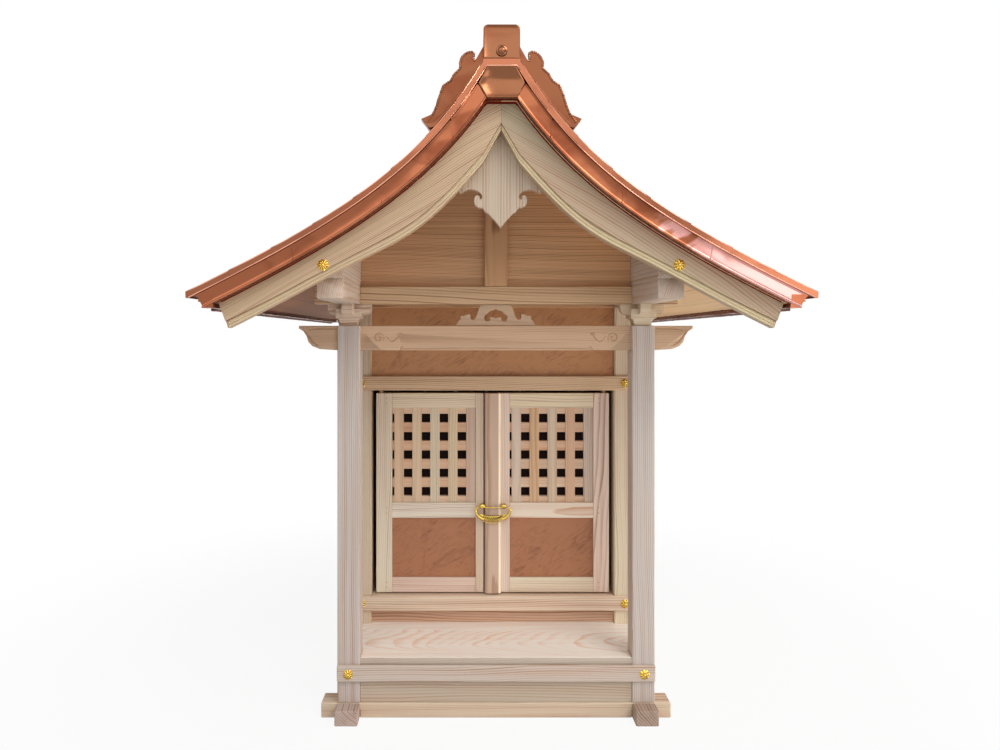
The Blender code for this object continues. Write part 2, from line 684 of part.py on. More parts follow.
def door_lattice(label, window, wood):
    """Upright bars halved over level bars, both the same way round on each leaf."""
    low_x, high_x = window[0] + FIT, window[1] - FIT
    hole = (high_x - low_x - LATTICE_SIDE_SLIT - (LATTICE_ACROSS + 1) * LATTICE_BAR) / LATTICE_ACROSS
    x_cuts = [low_x, low_x + LATTICE_SIDE_SLIT]
    for _ in range(LATTICE_ACROSS):
        x_cuts.append(x_cuts[-1] + LATTICE_BAR)
        x_cuts.append(x_cuts[-1] + hole)
    x_cuts.append(high_x)
    low_z, high_z = WINDOW_BOTTOM + FIT, WINDOW_TOP - FIT
    barred = (LATTICE_ROWS - 1) * LATTICE_BAR_HEIGHT + LATTICE_ROWS * LATTICE_HOLE_HEIGHT
    edge_bar = (high_z - low_z - barred) / 2
    z_cuts = [low_z, low_z + edge_bar]
    for _ in range(LATTICE_ROWS - 1):
        z_cuts.append(z_cuts[-1] + LATTICE_HOLE_HEIGHT)
        z_cuts.append(z_cuts[-1] + LATTICE_BAR_HEIGHT)
    z_cuts += [high_z - edge_bar, high_z]

    def front(column, row):
        if column % 2 == 1:
            return DOOR_FRONT_Y + LATTICE_RECESS
        if row % 2 == 0:
            return DOOR_FRONT_Y + LATTICE_RECESS + LATTICE_LAP
        return None
    back = DOOR_FRONT_Y + LATTICE_RECESS + LATTICE_THICKNESS
    return relief(label + "_door_lattice", x_cuts, z_cuts, front, back, wood)


def build_doors(wood, panel_wood):
    windows = {"left": (-WINDOW_OUTER_X, -WINDOW_INNER_X), "right": (WINDOW_INNER_X, WINDOW_OUTER_X)}
    edges = {"left": (-DOOR_OUTER_X, MEETING_X - DOOR_MEETING_GAP), "right": (MEETING_X, DOOR_OUTER_X)}
    for label, side in (("left", -1), ("right", 1)):
        hinge = bpy.data.objects.new(label + "_door_hinge", None)
        hinge.location = (side * HINGE_X, HINGE_Y, DOOR_BOTTOM)
        bpy.context.scene.collection.objects.link(hinge)
        window = windows[label]
        frame = door_frame(label, *edges[label], window, wood)
        lattice = door_lattice(label, window, wood)
        front = DOOR_FRONT_Y + PANEL_RECESS
        panel = block(label + "_door_panel", (window[0] + FIT, front, PANEL_BOTTOM + FIT),
                      (window[1] - FIT, front + PANEL_THICKNESS, PANEL_TOP - FIT), panel_wood, 0.0)
        for piece in (frame, lattice, panel):
            hang(piece, hinge)


def hang(piece, hinge):
    """Parents a piece to a hinge empty without moving it."""
    bpy.context.view_layer.update()
    piece.parent = hinge
    piece.matrix_parent_inverse = hinge.matrix_world.inverted()


def build_lock(brass):
    """A curved lock on two bosses: its belly is a crescent and its ends hook up to the bar."""
    y = DOOR_FRONT_Y - ASTRAGAL_PROUD - LOCK_STAND_OFF
    boss_x = LOCK_BOSS_SPACING / 2
    half = LOCK_WIDTH / 2 - LOCK_END_RADIUS
    rings = []
    for step in range(LOCK_STEPS + 1):
        turn = math.pi * step / LOCK_STEPS
        x = -half * math.cos(turn)
        z = LOCK_HEIGHT - LOCK_SAG - LOCK_DROP * math.sin(turn) ** 0.8
        swell = math.sin(turn) ** 3
        radius = LOCK_END_RADIUS + (LOCK_BELLY_RADIUS - LOCK_END_RADIUS) * swell
        flat = 1 - (1 - LOCK_BELLY_FLATNESS) * swell
        tangent = Vector((half * math.sin(turn), 0, -LOCK_DROP * math.cos(turn)))
        tangent.normalize()
        across = Vector((-tangent.z, 0, tangent.x))
        ring = []
        for side in range(LOCK_SIDES):
            angle = 2 * math.pi * side / LOCK_SIDES
            offset = across * (radius * math.cos(angle))
            ring.append((x + offset.x, y + radius * flat * math.sin(angle), z + offset.z))
        rings.append(ring)
    lock = loft("door_lock", rings, brass, smooth=True)
    door_y = DOOR_FRONT_Y - FIT
    parts = []
    for label, side in (("left", -1), ("right", 1)):
        back = door_y if side > 0 else door_y - LOCK_SWING_GAP
        front = y - LOCK_BOSS_PROUD
        boss = rod("boss_" + label, (side * boss_x, (back + front) / 2, LOCK_HEIGHT),
                   LOCK_BOSS_RADIUS, back - front, "Y", 16, brass)
        ear_length = half - boss_x + LOCK_BAR_RADIUS
        ear = rod("ear_" + label, (side * (boss_x + ear_length / 2), y, LOCK_HEIGHT - LOCK_SAG / 2),
                  LOCK_END_RADIUS, ear_length, "X", 8, brass)
        parts += [boss, ear]
    bar = rod("lock_bar", (0, y, LOCK_HEIGHT), LOCK_BAR_RADIUS, 2 * boss_x, "X", 8, brass)
    parts.append(bar)
    for part in parts:
        boolean(lock, part, "UNION")
    apply_modifiers(lock, parts)
    lock.data.shade_smooth()
    lock.data.set_sharp_from_angle(angle=math.radians(40))
    hang(lock, bpy.data.objects["right_door_hinge"])


# Porch head

def build_rainbow_beam(wood):
    """The beam between the porch posts, carved at both ends into a nose beyond the post."""
    top = PORCH_POST_TOP - FIT
    bottom = PORCH_POST_TOP - RAINBOW_BEAM_DEPTH
    tip = POST_OUTER_X + NOSE_REACH
    half = [(0, bottom), (POST_OUTER_X, bottom)]
    half += [(tip - NOSE_REACH * inward, bottom + RAINBOW_BEAM_DEPTH * up) for inward, up in NOSE_OUTLINE]
    half.append((tip, top))
    outline = half + [(-x, z) for x, z in half[:0:-1]]
    front = PORCH_Y + (POST_WIDTH - RAINBOW_BEAM_THICKNESS) / 2
    prism("rainbow_beam", outline, "Y", front, front + RAINBOW_BEAM_THICKNESS, wood, FINE_CHAMFER)


def build_frog_leg(wood):
    """The pierced strut that stands on the rainbow beam, shaped like a frog's spread legs."""
    foot = PORCH_POST_TOP
    height = PURLIN_BOTTOM - FIT - foot
    middle = PORCH_Y + POST_WIDTH / 2
    outer = [(FROG_LEG_REACH * out, foot + height * up) for out, up in FROG_LEG_OUTLINE]
    strut = prism("frog_leg_strut", mirrored(outer), "Y", middle - FROG_LEG_THICKNESS / 2,
                  middle + FROG_LEG_THICKNESS / 2, wood)
    eye = [(FROG_LEG_REACH * out, foot + height * up) for out, up in FROG_LEG_EYE]
    hole = eye + [(-x, z) for x, z in eye[-2:0:-1]]
    cutter = prism("frog_leg_eye", hole, "Y", middle - FROG_LEG_THICKNESS, middle + FROG_LEG_THICKNESS, wood)
    boolean(strut, cutter, "DIFFERENCE")
    apply_modifiers(strut, [cutter])


def build_brackets(wood):
    """A bearing block on each porch post with two crossed arms under the purlin."""
    foot = PORCH_POST_TOP + FIT
    arm_top = foot + BRACKET_HEIGHT - 2 * FIT
    arm_foot = arm_top - ARM_SECTION
    block_top = arm_top - BRACKET_SEAT
    flare_top = block_top - BRACKET_FACE
    steps = 4
    for label, side in (("left", -1), ("right", 1)):
        centre_x = side * POST_X
        centre_y = PORCH_Y + POST_WIDTH / 2
        rings = []
        for step in range(steps + 1):
            share = step / steps
            width = BRACKET_FOOT + (BRACKET_WIDTH - BRACKET_FOOT) * (1 - math.cos(share * math.pi / 2))
            rings.append((width / 2, foot + (flare_top - foot) * math.sin(share * math.pi / 2)))
        rings.append((BRACKET_WIDTH / 2, block_top))
        corners = ((-1, -1), (1, -1), (1, 1), (-1, 1))
        rows = [[(centre_x + half * sx, centre_y + half * sy, z) for sx, sy in corners] for half, z in rings]
        bearing = loft("bracket_" + label, rows, wood)
        reach = ARM_LENGTH / 2
        rounding = ARM_SECTION * 0.62
        half_arm = [(0, arm_foot), (reach - rounding, arm_foot)]
        half_arm += arc((reach - rounding, arm_foot + rounding), rounding, -67, 0, 4)
        half_arm.append((reach, arm_top))
        arm = half_arm + [(-x, z) for x, z in half_arm[:0:-1]]
        across = prism("arm_across_" + label, [(centre_x + x, z) for x, z in arm], "Y",
                       centre_y - ARM_SECTION / 2, centre_y + ARM_SECTION / 2, wood)
        along = prism("arm_along_" + label, [(centre_y + x, z) for x, z in arm], "X",
                      centre_x - ARM_SECTION / 2, centre_x + ARM_SECTION / 2, wood)
        boolean(bearing, across, "UNION")
        boolean(bearing, along, "UNION")
        apply_modifiers(bearing, [across, along])


def build_head_beams(wood):
    """Tie beam across the porch, halved over the two purlins that run to the back."""
    tie_top = PURLIN_BOTTOM + TIE_BEAM_HEIGHT
    lap = PURLIN_BOTTOM + TIE_BEAM_HEIGHT / 2
    inner = POST_X - PURLIN_WIDTH / 2
    outer = POST_X + PURLIN_WIDTH / 2
    tip = POST_OUTER_X + TIE_BEAM_END_REACH
    half = [(tip, PURLIN_BOTTOM), (tip, tie_top), (outer + FIT, tie_top),
            (outer + FIT, lap), (inner - FIT, lap), (inner - FIT, tie_top)]
    outline = mirrored(half)
    prism("tie_beam", outline, "Y", PORCH_Y, PORCH_Y + TIE_BEAM_THICKNESS, wood, FINE_CHAMFER)
    front = BEAM_FRONT_Y + FIT
    back = BEAM_BACK_Y - FIT
    for label, side in (("left", -1), ("right", 1)):
        section = [(inner, PURLIN_BOTTOM), (outer, PURLIN_BOTTOM), (outer, roof_under(outer) - FIT),
                   (inner, roof_under(inner) - FIT)]
        section = [(side * x, z) for x, z in section]
        purlin = prism("purlin_" + label, section, "Y", front, back, wood)
        notch = block("purlin_notch_" + label,
                      (side * POST_X - PURLIN_WIDTH, PORCH_Y - FIT, PURLIN_BOTTOM - TIE_BEAM_HEIGHT),
                      (side * POST_X + PURLIN_WIDTH, PORCH_Y + TIE_BEAM_THICKNESS + FIT, lap + FIT), wood, 0.0)
        boolean(purlin, notch, "DIFFERENCE")
        apply_modifiers(purlin, [notch])
        chamfer(purlin, FINE_CHAMFER)


def under_roof_points(reach, start):
    """Points along the roof's underside from the ridge out, with the fit taken off."""
    places = [x for x in sweep_places(reach, ROOF_THICKNESS) if x > start + FIT]
    return [(x, roof_under(x) - FIT) for x in places]


def build_gables(wood):
    """Boarded gables over the tie beam and the back wall, the strut and the ridge beam."""
    beam_half = RIDGE_BEAM_WIDTH / 2
    beam_top = roof_under(beam_half) - FIT
    beam_bottom = beam_top - RIDGE_BEAM_DEPTH
    beam_front = BEAM_FRONT_Y + PENDANT_THICKNESS + 2 * FIT
    block("ridge_beam", (-beam_half, beam_front, beam_bottom), (beam_half, BEAM_BACK_Y - FIT, beam_top),
          wood, FINE_CHAMFER)
    wall_reach = POST_X - PURLIN_WIDTH / 2 - FIT
    for label, wall_y, foot in (
            ("front", PORCH_Y + GABLE_WALL_SETBACK, PURLIN_BOTTOM + TIE_BEAM_HEIGHT + FIT),
            ("back", BODY_BACK_Y - POST_WIDTH / 2 + FIT, PURLIN_BOTTOM)):
        beside_beam = beam_half + FIT
        slope = [(beside_beam, beam_bottom - FIT), (beside_beam, roof_under(beside_beam) - FIT)]
        slope += under_roof_points(wall_reach, beside_beam)
        half = slope + [(wall_reach, foot)]
        outline = mirrored(half)
        prism("gable_wall_" + label, outline, "Y", wall_y, wall_y + GABLE_WALL_THICKNESS, wood)
    strut_half = GABLE_STRUT_WIDTH / 2
    block("gable_strut", (-strut_half, PORCH_Y, PURLIN_BOTTOM + TIE_BEAM_HEIGHT + FIT),
          (strut_half, PORCH_Y + GABLE_WALL_SETBACK - FIT, beam_bottom - FIT), wood)


# Roof

def bargeboard_depth(x):
    swell = math.exp(-((x - BARGEBOARD_SWELL_AT) / BARGEBOARD_SWELL_SPREAD) ** 2)
    return BARGEBOARD_DEPTH + BARGEBOARD_SWELL * swell


def bargeboard(name, side, front_y, outward, wood):
    """A swept board that narrows to the eave, rebated along its lower edge."""
    face = front_y
    step_face = front_y - outward * BARGEBOARD_REBATE
    back = front_y - outward * BARGEBOARD_THICKNESS
    rings = []
    for x in sweep_places(BARGEBOARD_END, ROOF_THICKNESS):
        top = roof_under(x) - FIT
        share = (x / BARGEBOARD_END) ** 8
        foot_x = x - BARGEBOARD_END_SLANT * share
        foot = below_roof(foot_x, ROOF_THICKNESS + bargeboard_depth(foot_x))
        narrowed = BARGEBOARD_REBATE_NARROWED * math.exp(-foot_x / BARGEBOARD_REBATE_EASING)
        rise = (BARGEBOARD_REBATE_HEIGHT - narrowed) * math.hypot(1, roof_slope(foot_x))
        rebate_x = foot_x + BARGEBOARD_END_SLANT * share * 0.25
        ring = [(side * x, face, top), (side * rebate_x, face, foot + rise),
                (side * rebate_x, step_face, foot + rise), (side * foot_x, step_face, foot),
                (side * foot_x, back, foot), (side * x, back, top)]
        rings.append(ring)
    return loft(name, rings, wood)


def build_bargeboards(wood):
    front_y = BEAM_FRONT_Y - BARGEBOARD_THICKNESS
    back_y = BEAM_BACK_Y + BARGEBOARD_THICKNESS
    for label, side in (("left", -1), ("right", 1)):
        bargeboard("bargeboard_front_" + label, side, front_y, -1, wood)
        bargeboard("bargeboard_back_" + label, side, back_y, 1, wood)


def build_pendant(wood):
    """The carved pendant that hides the end of the ridge beam and hangs below the bargeboards' meeting."""
    tip = roof_under(0) - PENDANT_TIP_DROP
    span = roof_under(0) - PENDANT_TOP_DROP - tip
    half = [(PENDANT_HALF_WIDTH * out, tip + span * up) for out, up in PENDANT_OUTLINE]
    whole = half + [(-x, z) for x, z in half[-2::-1]]
    front = BEAM_FRONT_Y + FIT
    return prism("gable_pendant", whole, "Y", front, front + PENDANT_THICKNESS, wood)


def build_roof(copper, boards):
    """Three layers a side: board core, copper edge strip round it, and the copper top sheet."""
    sheet_foot = TOP_SHEET_THICKNESS
    core_top = sheet_foot + FIT
    core_reach = ROOF_HALF_WIDTH - EAVE_OVERLAP
    inset = TOP_SHEET_OVERLAP
    edge_front, edge_back = ROOF_FRONT_Y + inset, ROOF_BACK_Y - inset
    inner_front = edge_front + EDGE_STRIP_WIDTH
    inner_back = edge_back - EDGE_STRIP_WIDTH
    for label, side in (("left", -1), ("right", 1)):
        roof_layer("copper_roof_" + label, side, 0.0, sheet_foot, ROOF_HALF_WIDTH, EAVE_SHEET_SLANT,
                   ROOF_FRONT_Y, ROOF_BACK_Y, copper)
        edge = roof_layer("roof_edge_" + label, side, core_top, ROOF_THICKNESS, core_reach, EAVE_SLANT,
                          edge_front, edge_back, copper)
        cut_reach = core_reach - EAVE_SLANT - EDGE_STRIP_WIDTH
        beyond_ridge = RIDGE_WIDTH
        ends = sorted((side * cut_reach, -side * beyond_ridge))
        cutter = block("edge_cutter_" + label, (ends[0], inner_front, 0.0),
                       (ends[1], inner_back, 2 * RIDGE_HEIGHT), copper, 0.0)
        boolean(edge, cutter, "DIFFERENCE")
        apply_modifiers(edge, [cutter])
        roof_layer("roof_boards_" + label, side, core_top, ROOF_THICKNESS, cut_reach - FIT, 0.0,
                   inner_front + FIT, inner_back - FIT, boards)


def build_ridge(copper):
    """The box that covers the ridge, and the winged boards that stand across both of its ends."""
    low_z = RIDGE_HEIGHT + FIT
    high_z = RIDGE_HEIGHT + RIDGE_COVER_HEIGHT
    rounding = RIDGE_COVER_ROUNDING
    half = RIDGE_HALF
    outline = [(-half, low_z), (half, low_z)]
    outline += arc((half - rounding, high_z - rounding), rounding, 0, 90, 4)
    outline += arc((-half + rounding, high_z - rounding), rounding, 90, 180, 4)
    cover = prism("ridge_cover", outline, "Y", ROOF_FRONT_Y, ROOF_BACK_Y, copper, smooth=True)
    bridge_top = low_z + RIDGE_BOARD_BRIDGE
    cutters = []
    for label, end, way in (("front", ROOF_FRONT_Y, 1), ("back", ROOF_BACK_Y, -1)):
        near = end + way * RIDGE_BOARD_SETBACK
        far = near + way * RIDGE_BOARD_THICKNESS
        low_y, high_y = min(near, far), max(near, far)
        slot = block("ridge_slot_" + label, (-RIDGE_WIDTH, low_y - FIT, low_z - RIDGE_BOARD_BRIDGE),
                     (RIDGE_WIDTH, high_y + FIT, bridge_top + FIT), copper, 0.0)
        boolean(cover, slot, "DIFFERENCE")
        cutters.append(slot)
        wing = [(half + FIT, bridge_top)]
        for out, up in RIDGE_WING_OUTLINE:
            x = half + RIDGE_WING_LENGTH * out
            wing.append((x, roof_top(x) + RIDGE_WING_HEIGHT * up))
        seat_shares = (0.84, 0.68, 0.54, 0.40, 0.27, 0.15, 0.05)
        seat = [(half + RIDGE_WING_LENGTH * out, roof_top(half + RIDGE_WING_LENGTH * out) + FIT)
                for out in seat_shares]
        flat = [(half, low_z)]
        outline = mirrored(wing + seat + flat)
        prism("ridge_board_" + label, outline, "Y", low_y, high_y, copper)
    apply_modifiers(cover, cutters)


def main():
    clear_scene()
    pale = timber("pale_cypress", (0.72, 0.56, 0.41))
    red = timber("red_figured_wood", (0.42, 0.20, 0.11), 0.45)
    copper = metal("sheet_copper", (0.72, 0.32, 0.17), 0.30)
    brass = metal("polished_brass", (0.80, 0.58, 0.20), 0.22)
    build_sills(pale)
    build_posts(pale)
    build_base(pale)
    build_floors(pale)
    build_body(pale, red)
    build_doors(pale, red)
    build_lock(brass)
    build_rainbow_beam(pale)
    build_frog_leg(pale)
    build_brackets(pale)
    build_head_beams(pale)
    build_gables(pale)
    build_bargeboards(pale)
    build_pendant(pale)
    build_roof(copper, pale)
    build_ridge(copper)
    print("pieces:", sum(item.type == "MESH" for item in bpy.data.objects))


main()
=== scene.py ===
import json
import math
import random

import bmesh
import bpy
from mathutils import Matrix, Vector


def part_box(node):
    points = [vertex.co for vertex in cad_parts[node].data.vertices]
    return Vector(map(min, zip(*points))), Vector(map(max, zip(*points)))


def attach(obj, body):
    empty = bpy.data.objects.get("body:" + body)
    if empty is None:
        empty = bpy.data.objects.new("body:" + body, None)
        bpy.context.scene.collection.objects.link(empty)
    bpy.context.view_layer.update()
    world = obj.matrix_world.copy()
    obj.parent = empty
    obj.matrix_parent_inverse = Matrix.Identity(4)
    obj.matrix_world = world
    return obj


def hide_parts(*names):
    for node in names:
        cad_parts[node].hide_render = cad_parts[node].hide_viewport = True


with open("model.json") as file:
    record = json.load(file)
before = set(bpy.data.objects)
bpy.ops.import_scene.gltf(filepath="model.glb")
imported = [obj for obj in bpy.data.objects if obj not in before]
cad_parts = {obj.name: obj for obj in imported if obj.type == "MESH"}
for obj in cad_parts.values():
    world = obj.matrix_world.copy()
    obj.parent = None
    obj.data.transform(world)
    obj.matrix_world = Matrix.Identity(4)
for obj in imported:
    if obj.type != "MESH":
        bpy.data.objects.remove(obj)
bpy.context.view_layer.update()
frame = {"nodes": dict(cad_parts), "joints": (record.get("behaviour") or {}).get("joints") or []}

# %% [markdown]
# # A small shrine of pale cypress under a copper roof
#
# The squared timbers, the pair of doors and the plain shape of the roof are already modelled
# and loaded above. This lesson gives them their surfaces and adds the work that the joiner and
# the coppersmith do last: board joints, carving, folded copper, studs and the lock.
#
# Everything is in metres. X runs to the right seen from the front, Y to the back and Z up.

nodes = frame["nodes"]
print("pieces loaded:", len(nodes))

# %% [markdown]
# ## Reading sizes off the model
#
# A moulding or a row of studs should still fit if the shrine is drawn a little larger, so its
# place is read from the timber it sits on. `low` and `high` give a piece's two corners. Left and
# right, and front and back, come with the sign that mirrors a shape across the middle.

# %%
def low(name, axis=None):
    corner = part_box(name)[0]
    return corner if axis is None else corner["XYZ".index(axis)]


def high(name, axis=None):
    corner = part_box(name)[1]
    return corner if axis is None else corner["XYZ".index(axis)]


SIDES = (("left", -1), ("right", 1))
ENDS = (("front", -1), ("back", 1))
POST_X = (low("porch_post_right", "X") + high("porch_post_right", "X")) / 2
PORCH_Y = low("porch_post_right", "Y")
BODY_Y = low("body_post_front_right", "Y")
DOOR_Y = low("left_door_frame", "Y")
print("posts stand", round(2 * POST_X * 1000), "mm apart and the porch is",
      round((BODY_Y - PORCH_Y) * 1000), "mm deep")

# %% [markdown]
# ## The sweep of the roof
#
# The roof falls steeply from the ridge and eases towards the eaves, like a sheet of paper held
# along its middle. One formula gives the top line, and every layer of copper and timber under it
# lies a square depth below that line. The slope is the sum of a steady part and a part that fades.

# %%
RIDGE_HALF = high("ridge_cover", "X")
RIDGE_SEAT = 0.0003
RIDGE_HEIGHT = low("ridge_cover", "Z") - RIDGE_SEAT
SLOPE_AT_EAVE = 0.4646
SLOPE_ADDED = 1.2275
SLOPE_EASING = 0.105
EAVE_X = high("copper_roof_right", "X")
ROOF_Y = high("copper_roof_right", "Y")
ROOF_THICKNESS = 0.0295
SHEET_DEPTH = 0.0080


def roof_line(x):
    out = max(abs(x) - RIDGE_HALF, 0)
    eased = SLOPE_ADDED * SLOPE_EASING * (1 - math.exp(-out / SLOPE_EASING))
    return RIDGE_HEIGHT - SLOPE_AT_EAVE * out - eased


def roof_slope(x):
    out = max(abs(x) - RIDGE_HALF, 0)
    return SLOPE_AT_EAVE + SLOPE_ADDED * math.exp(-out / SLOPE_EASING)


def below_roof(x, depth):
    return roof_line(x) - depth * math.hypot(1, roof_slope(x))


def rafter_length(start, end, steps=40):
    """Length along the curve between two places across the roof."""
    step = (end - start) / steps
    middles = [start + step * (index + 0.5) for index in range(steps)]
    return sum(step * math.hypot(1, roof_slope(x)) for x in middles)


print("one side of the roof measures", round(rafter_length(RIDGE_HALF, EAVE_X) * 1000), "mm along the slope")

# %% [markdown]
# ## Writing shader sums as sums
#
# A procedural surface is mostly arithmetic on positions. Wrapping a socket in a small class lets
# `ring * 0.4 + 0.1` build its Math nodes by itself, so a finish can be read like a formula.
# `1 - mask` works too, because the reflected operators are defined as well.

# %%
class Term:
    """One output socket of a material, ready for sums."""

    def __init__(self, finish, socket):
        self.finish = finish
        self.socket = socket

    def math(self, operation, *others):
        return self.finish.node("ShaderNodeMath", {"operation": operation}, (self, *others))

    def __add__(self, other):
        return self.math("ADD", other)

    def __sub__(self, other):
        return self.math("SUBTRACT", other)

    def __mul__(self, other):
        return self.math("MULTIPLY", other)

    def __truediv__(self, other):
        return self.math("DIVIDE", other)

    def __pow__(self, other):
        return self.math("POWER", other)

    def __radd__(self, other):
        return self.math("ADD", other)

    def __rmul__(self, other):
        return self.math("MULTIPLY", other)

    def __rsub__(self, other):
        return self.finish.node("ShaderNodeMath", {"operation": "SUBTRACT"}, (other, self))

    def between(self, start, end):
        """0 before start, 1 after end, and smooth from one to the other."""
        return self.finish.node("ShaderNodeMapRange", {"interpolation_type": "SMOOTHSTEP"},
                                (self, start, end, 0.0, 1.0))


class Finish:
    """A material, and the few ways of adding nodes that the finishes below need."""

    def __init__(self, name, metallic=0.0, roughness=0.5):
        self.material = bpy.data.materials.new(name)
        self.material.use_nodes = True
        self.tree = self.material.node_tree
        self.shader = self.tree.nodes["Principled BSDF"]
        self.shader.inputs["Metallic"].default_value = metallic
        self.shader.inputs["Roughness"].default_value = roughness

    def node(self, kind, settings=None, values=(), output=0):
        """Any node: its settings first, then values or links for its sockets, by place or by name."""
        made = self.tree.nodes.new(kind)
        for key, value in (settings or {}).items():
            setattr(made, key, value)
        pairs = values.items() if isinstance(values, dict) else enumerate(values)
        for key, value in pairs:
            if isinstance(value, Term):
                self.tree.links.new(value.socket, made.inputs[key])
            elif value is not None:
                made.inputs[key].default_value = value
        return Term(self, made.outputs[output])

    def place(self, turn=(0, 0, 0), shift=(0, 0, 0)):
        """The piece's own coordinates, turned and then shifted."""
        own = self.node("ShaderNodeTexCoord", output="Object")
        return self.node("ShaderNodeMapping", {"vector_type": "POINT"},
                         {"Vector": own, "Rotation": turn, "Location": shift})

    def stretch(self, vector, scale):
        return self.node("ShaderNodeVectorMath", {"operation": "MULTIPLY"}, (vector, scale))

    def split(self, vector):
        made = self.node("ShaderNodeSeparateXYZ", values=(vector,))
        return [Term(self, made.socket.node.outputs[index]) for index in range(3)]

    def cloud(self, vector, scale=1.0, detail=2.0, distortion=0.0):
        """Soft noise around 0.5."""
        return self.node("ShaderNodeTexNoise", values={
            "Vector": vector, "Scale": scale, "Detail": detail, "Distortion": distortion})

    def blend(self, share, first, second):
        """Mixes two colours, each given as three numbers or as a Term."""
        first, second = [(*c, 1.0) if isinstance(c, tuple) else c for c in (first, second)]
        return self.node("ShaderNodeMix", {"data_type": "RGBA"}, {0: share, 6: first, 7: second}, output=2)

    def feed(self, **links):
        """Base_Color=..., Roughness=... and so on into the surface shader."""
        for key, value in links.items():
            self.tree.links.new(value.socket, self.shader.inputs[key.replace("_", " ")])

    def bump(self, height, distance, strength=1.0):
        made = self.node("ShaderNodeBump", values={
            "Height": height, "Distance": distance, "Strength": strength}, output="Normal")
        self.feed(Normal=made)


def tone(red, green, blue):
    """A colour as it reads on a screen, 0 to 255, turned into light."""
    return tuple(((c / 255 + 0.055) / 1.055) ** 2.4 if c > 10 else c / 255 / 12.92
                 for c in (red, green, blue))


print("pale wood as light:", [round(c, 3) for c in tone(226, 204, 178)])

# %% [markdown]
# ## Cypress: rings that run through the whole timber
#
# Grain isn't printed on a board. It is a log's yearly rings cut open, so the finish works in
# three dimensions: it measures how far a point lies from the heart of the log. Straight fine lines
# then come out on one face, wide arches on the next and curved rings on the end, and they meet at
# the corners. A slow wobble along the log keeps the lines from looking ruled.
#
# `grain` names the direction of the log. `heart` says how far away the middle of the log lies, and
# `lean` tips the log a little, which is what makes long arches on a flat board.

# %%
CREAM = tone(226, 211, 190)
LATE_WOOD = tone(172, 134, 104)
BLUSH = tone(218, 178, 152)
TURNS = {"X": (0, 0, 0), "Y": (0, 0, -math.pi / 2), "Z": (0, math.pi / 2, 0)}


def wood(name, grain="X", centre=(0, 0, 0), seed=0, ring=0.0024, heart=(0.07, 0.05), lean=0.03,
         wobble=0.012, cream=CREAM, late=LATE_WOOD, blush=BLUSH, blush_share=0.5, contrast=0.42,
         roughness=0.62, slope=0.0):
    pick = random.Random(seed)
    finish = Finish(name)
    turn = (0, slope, 0) if slope else TURNS[grain]
    turned = Matrix.Rotation(turn[2], 3, "Z") @ Matrix.Rotation(turn[1], 3, "Y") @ Vector(centre)
    shift = (pick.uniform(3, 9), heart[0] - turned.y, heart[1] - turned.z)
    spot = finish.place(turn, (shift[0] - turned.x, shift[1], shift[2]))
    along, across, up = finish.split(spot)
    slow = finish.cloud(finish.stretch(spot, (1.6, 7.0, 7.0)), detail=2.0)
    lively = finish.cloud(finish.stretch(spot, (9.0, 60.0, 60.0)), detail=3.0)
    fibre = finish.cloud(finish.stretch(spot, (55.0, 1500.0, 1500.0)), detail=2.0)
    streak = finish.cloud(finish.stretch(spot, (2.4, 95.0, 95.0)), detail=3.0)
    leaned = up + (along - shift[0]) * lean
    distance = (across * across + leaned * leaned) ** 0.5 + (slow - 0.5) * (2 * wobble)
    rings = distance / ring + (lively - 0.5) * 0.7
    inside = rings.math("FRACT")
    which = finish.node("ShaderNodeTexWhiteNoise", {"noise_dimensions": "1D"},
                        {"W": rings.math("FLOOR")})
    dark = inside.between(0.30, 0.93) * (1 - inside.between(0.93, 1.0)) * (which * 0.75 + 0.25)
    warm = streak.between(0.36, 0.68)
    share = dark * contrast + (fibre - 0.5) * 0.20 + warm * 0.22
    ground = finish.blend(slow.between(0.35, 0.65) * blush_share * (warm * 0.6 + 0.4), cream, blush)
    finish.feed(Base_Color=finish.blend(share.between(0.0, 1.0), ground, late),
                Roughness=roughness + dark * 0.06 + (fibre - 0.5) * 0.10)
    finish.bump(dark * -0.5 + fibre * 0.5, 0.00022, 0.5)
    return finish.material


# %% [markdown]
# ## Figured panels
#
# The lower door panels and the one over the doors are a redder wood, peeled from the log so that
# its figure wanders in broad clouds. Lines of equal height on a soft random landscape look just
# like that, so the finish takes the fractional part of a cloud several times over.

# %%
PANEL_LIGHT = tone(174, 116, 80)
PANEL_DARK = tone(116, 68, 42)
PALE_PANEL_LIGHT = tone(208, 150, 102)
PALE_PANEL_DARK = tone(150, 96, 60)


def figured(name, seed, light, dark):
    finish = Finish(name)
    spot = finish.place(turn=(0, 0.6, 0), shift=(seed * 1.7, seed * 0.9, seed * 2.3))
    land = finish.cloud(finish.stretch(spot, (12.0, 12.0, 26.0)), detail=3.0, distortion=0.4)
    small = finish.cloud(finish.stretch(spot, (50.0, 50.0, 260.0)), detail=4.0)
    pores = finish.cloud(finish.stretch(spot, (260.0, 260.0, 1300.0)), detail=2.0)
    lines = (land * 7.0 + small * 0.8).math("FRACT")
    figure = lines.between(0.0, 1.0) * 0.20 + land.between(0.3, 0.7) * 0.25
    share = figure + (small - 0.5) * 0.7 + pores.between(0.55, 0.75) * 0.25
    finish.feed(Base_Color=finish.blend(share.between(0.15, 0.85), light, dark),
                Roughness=0.46 + (pores - 0.5) * 0.2)
    finish.bump(pores, 0.00012, 0.4)
    return finish.material
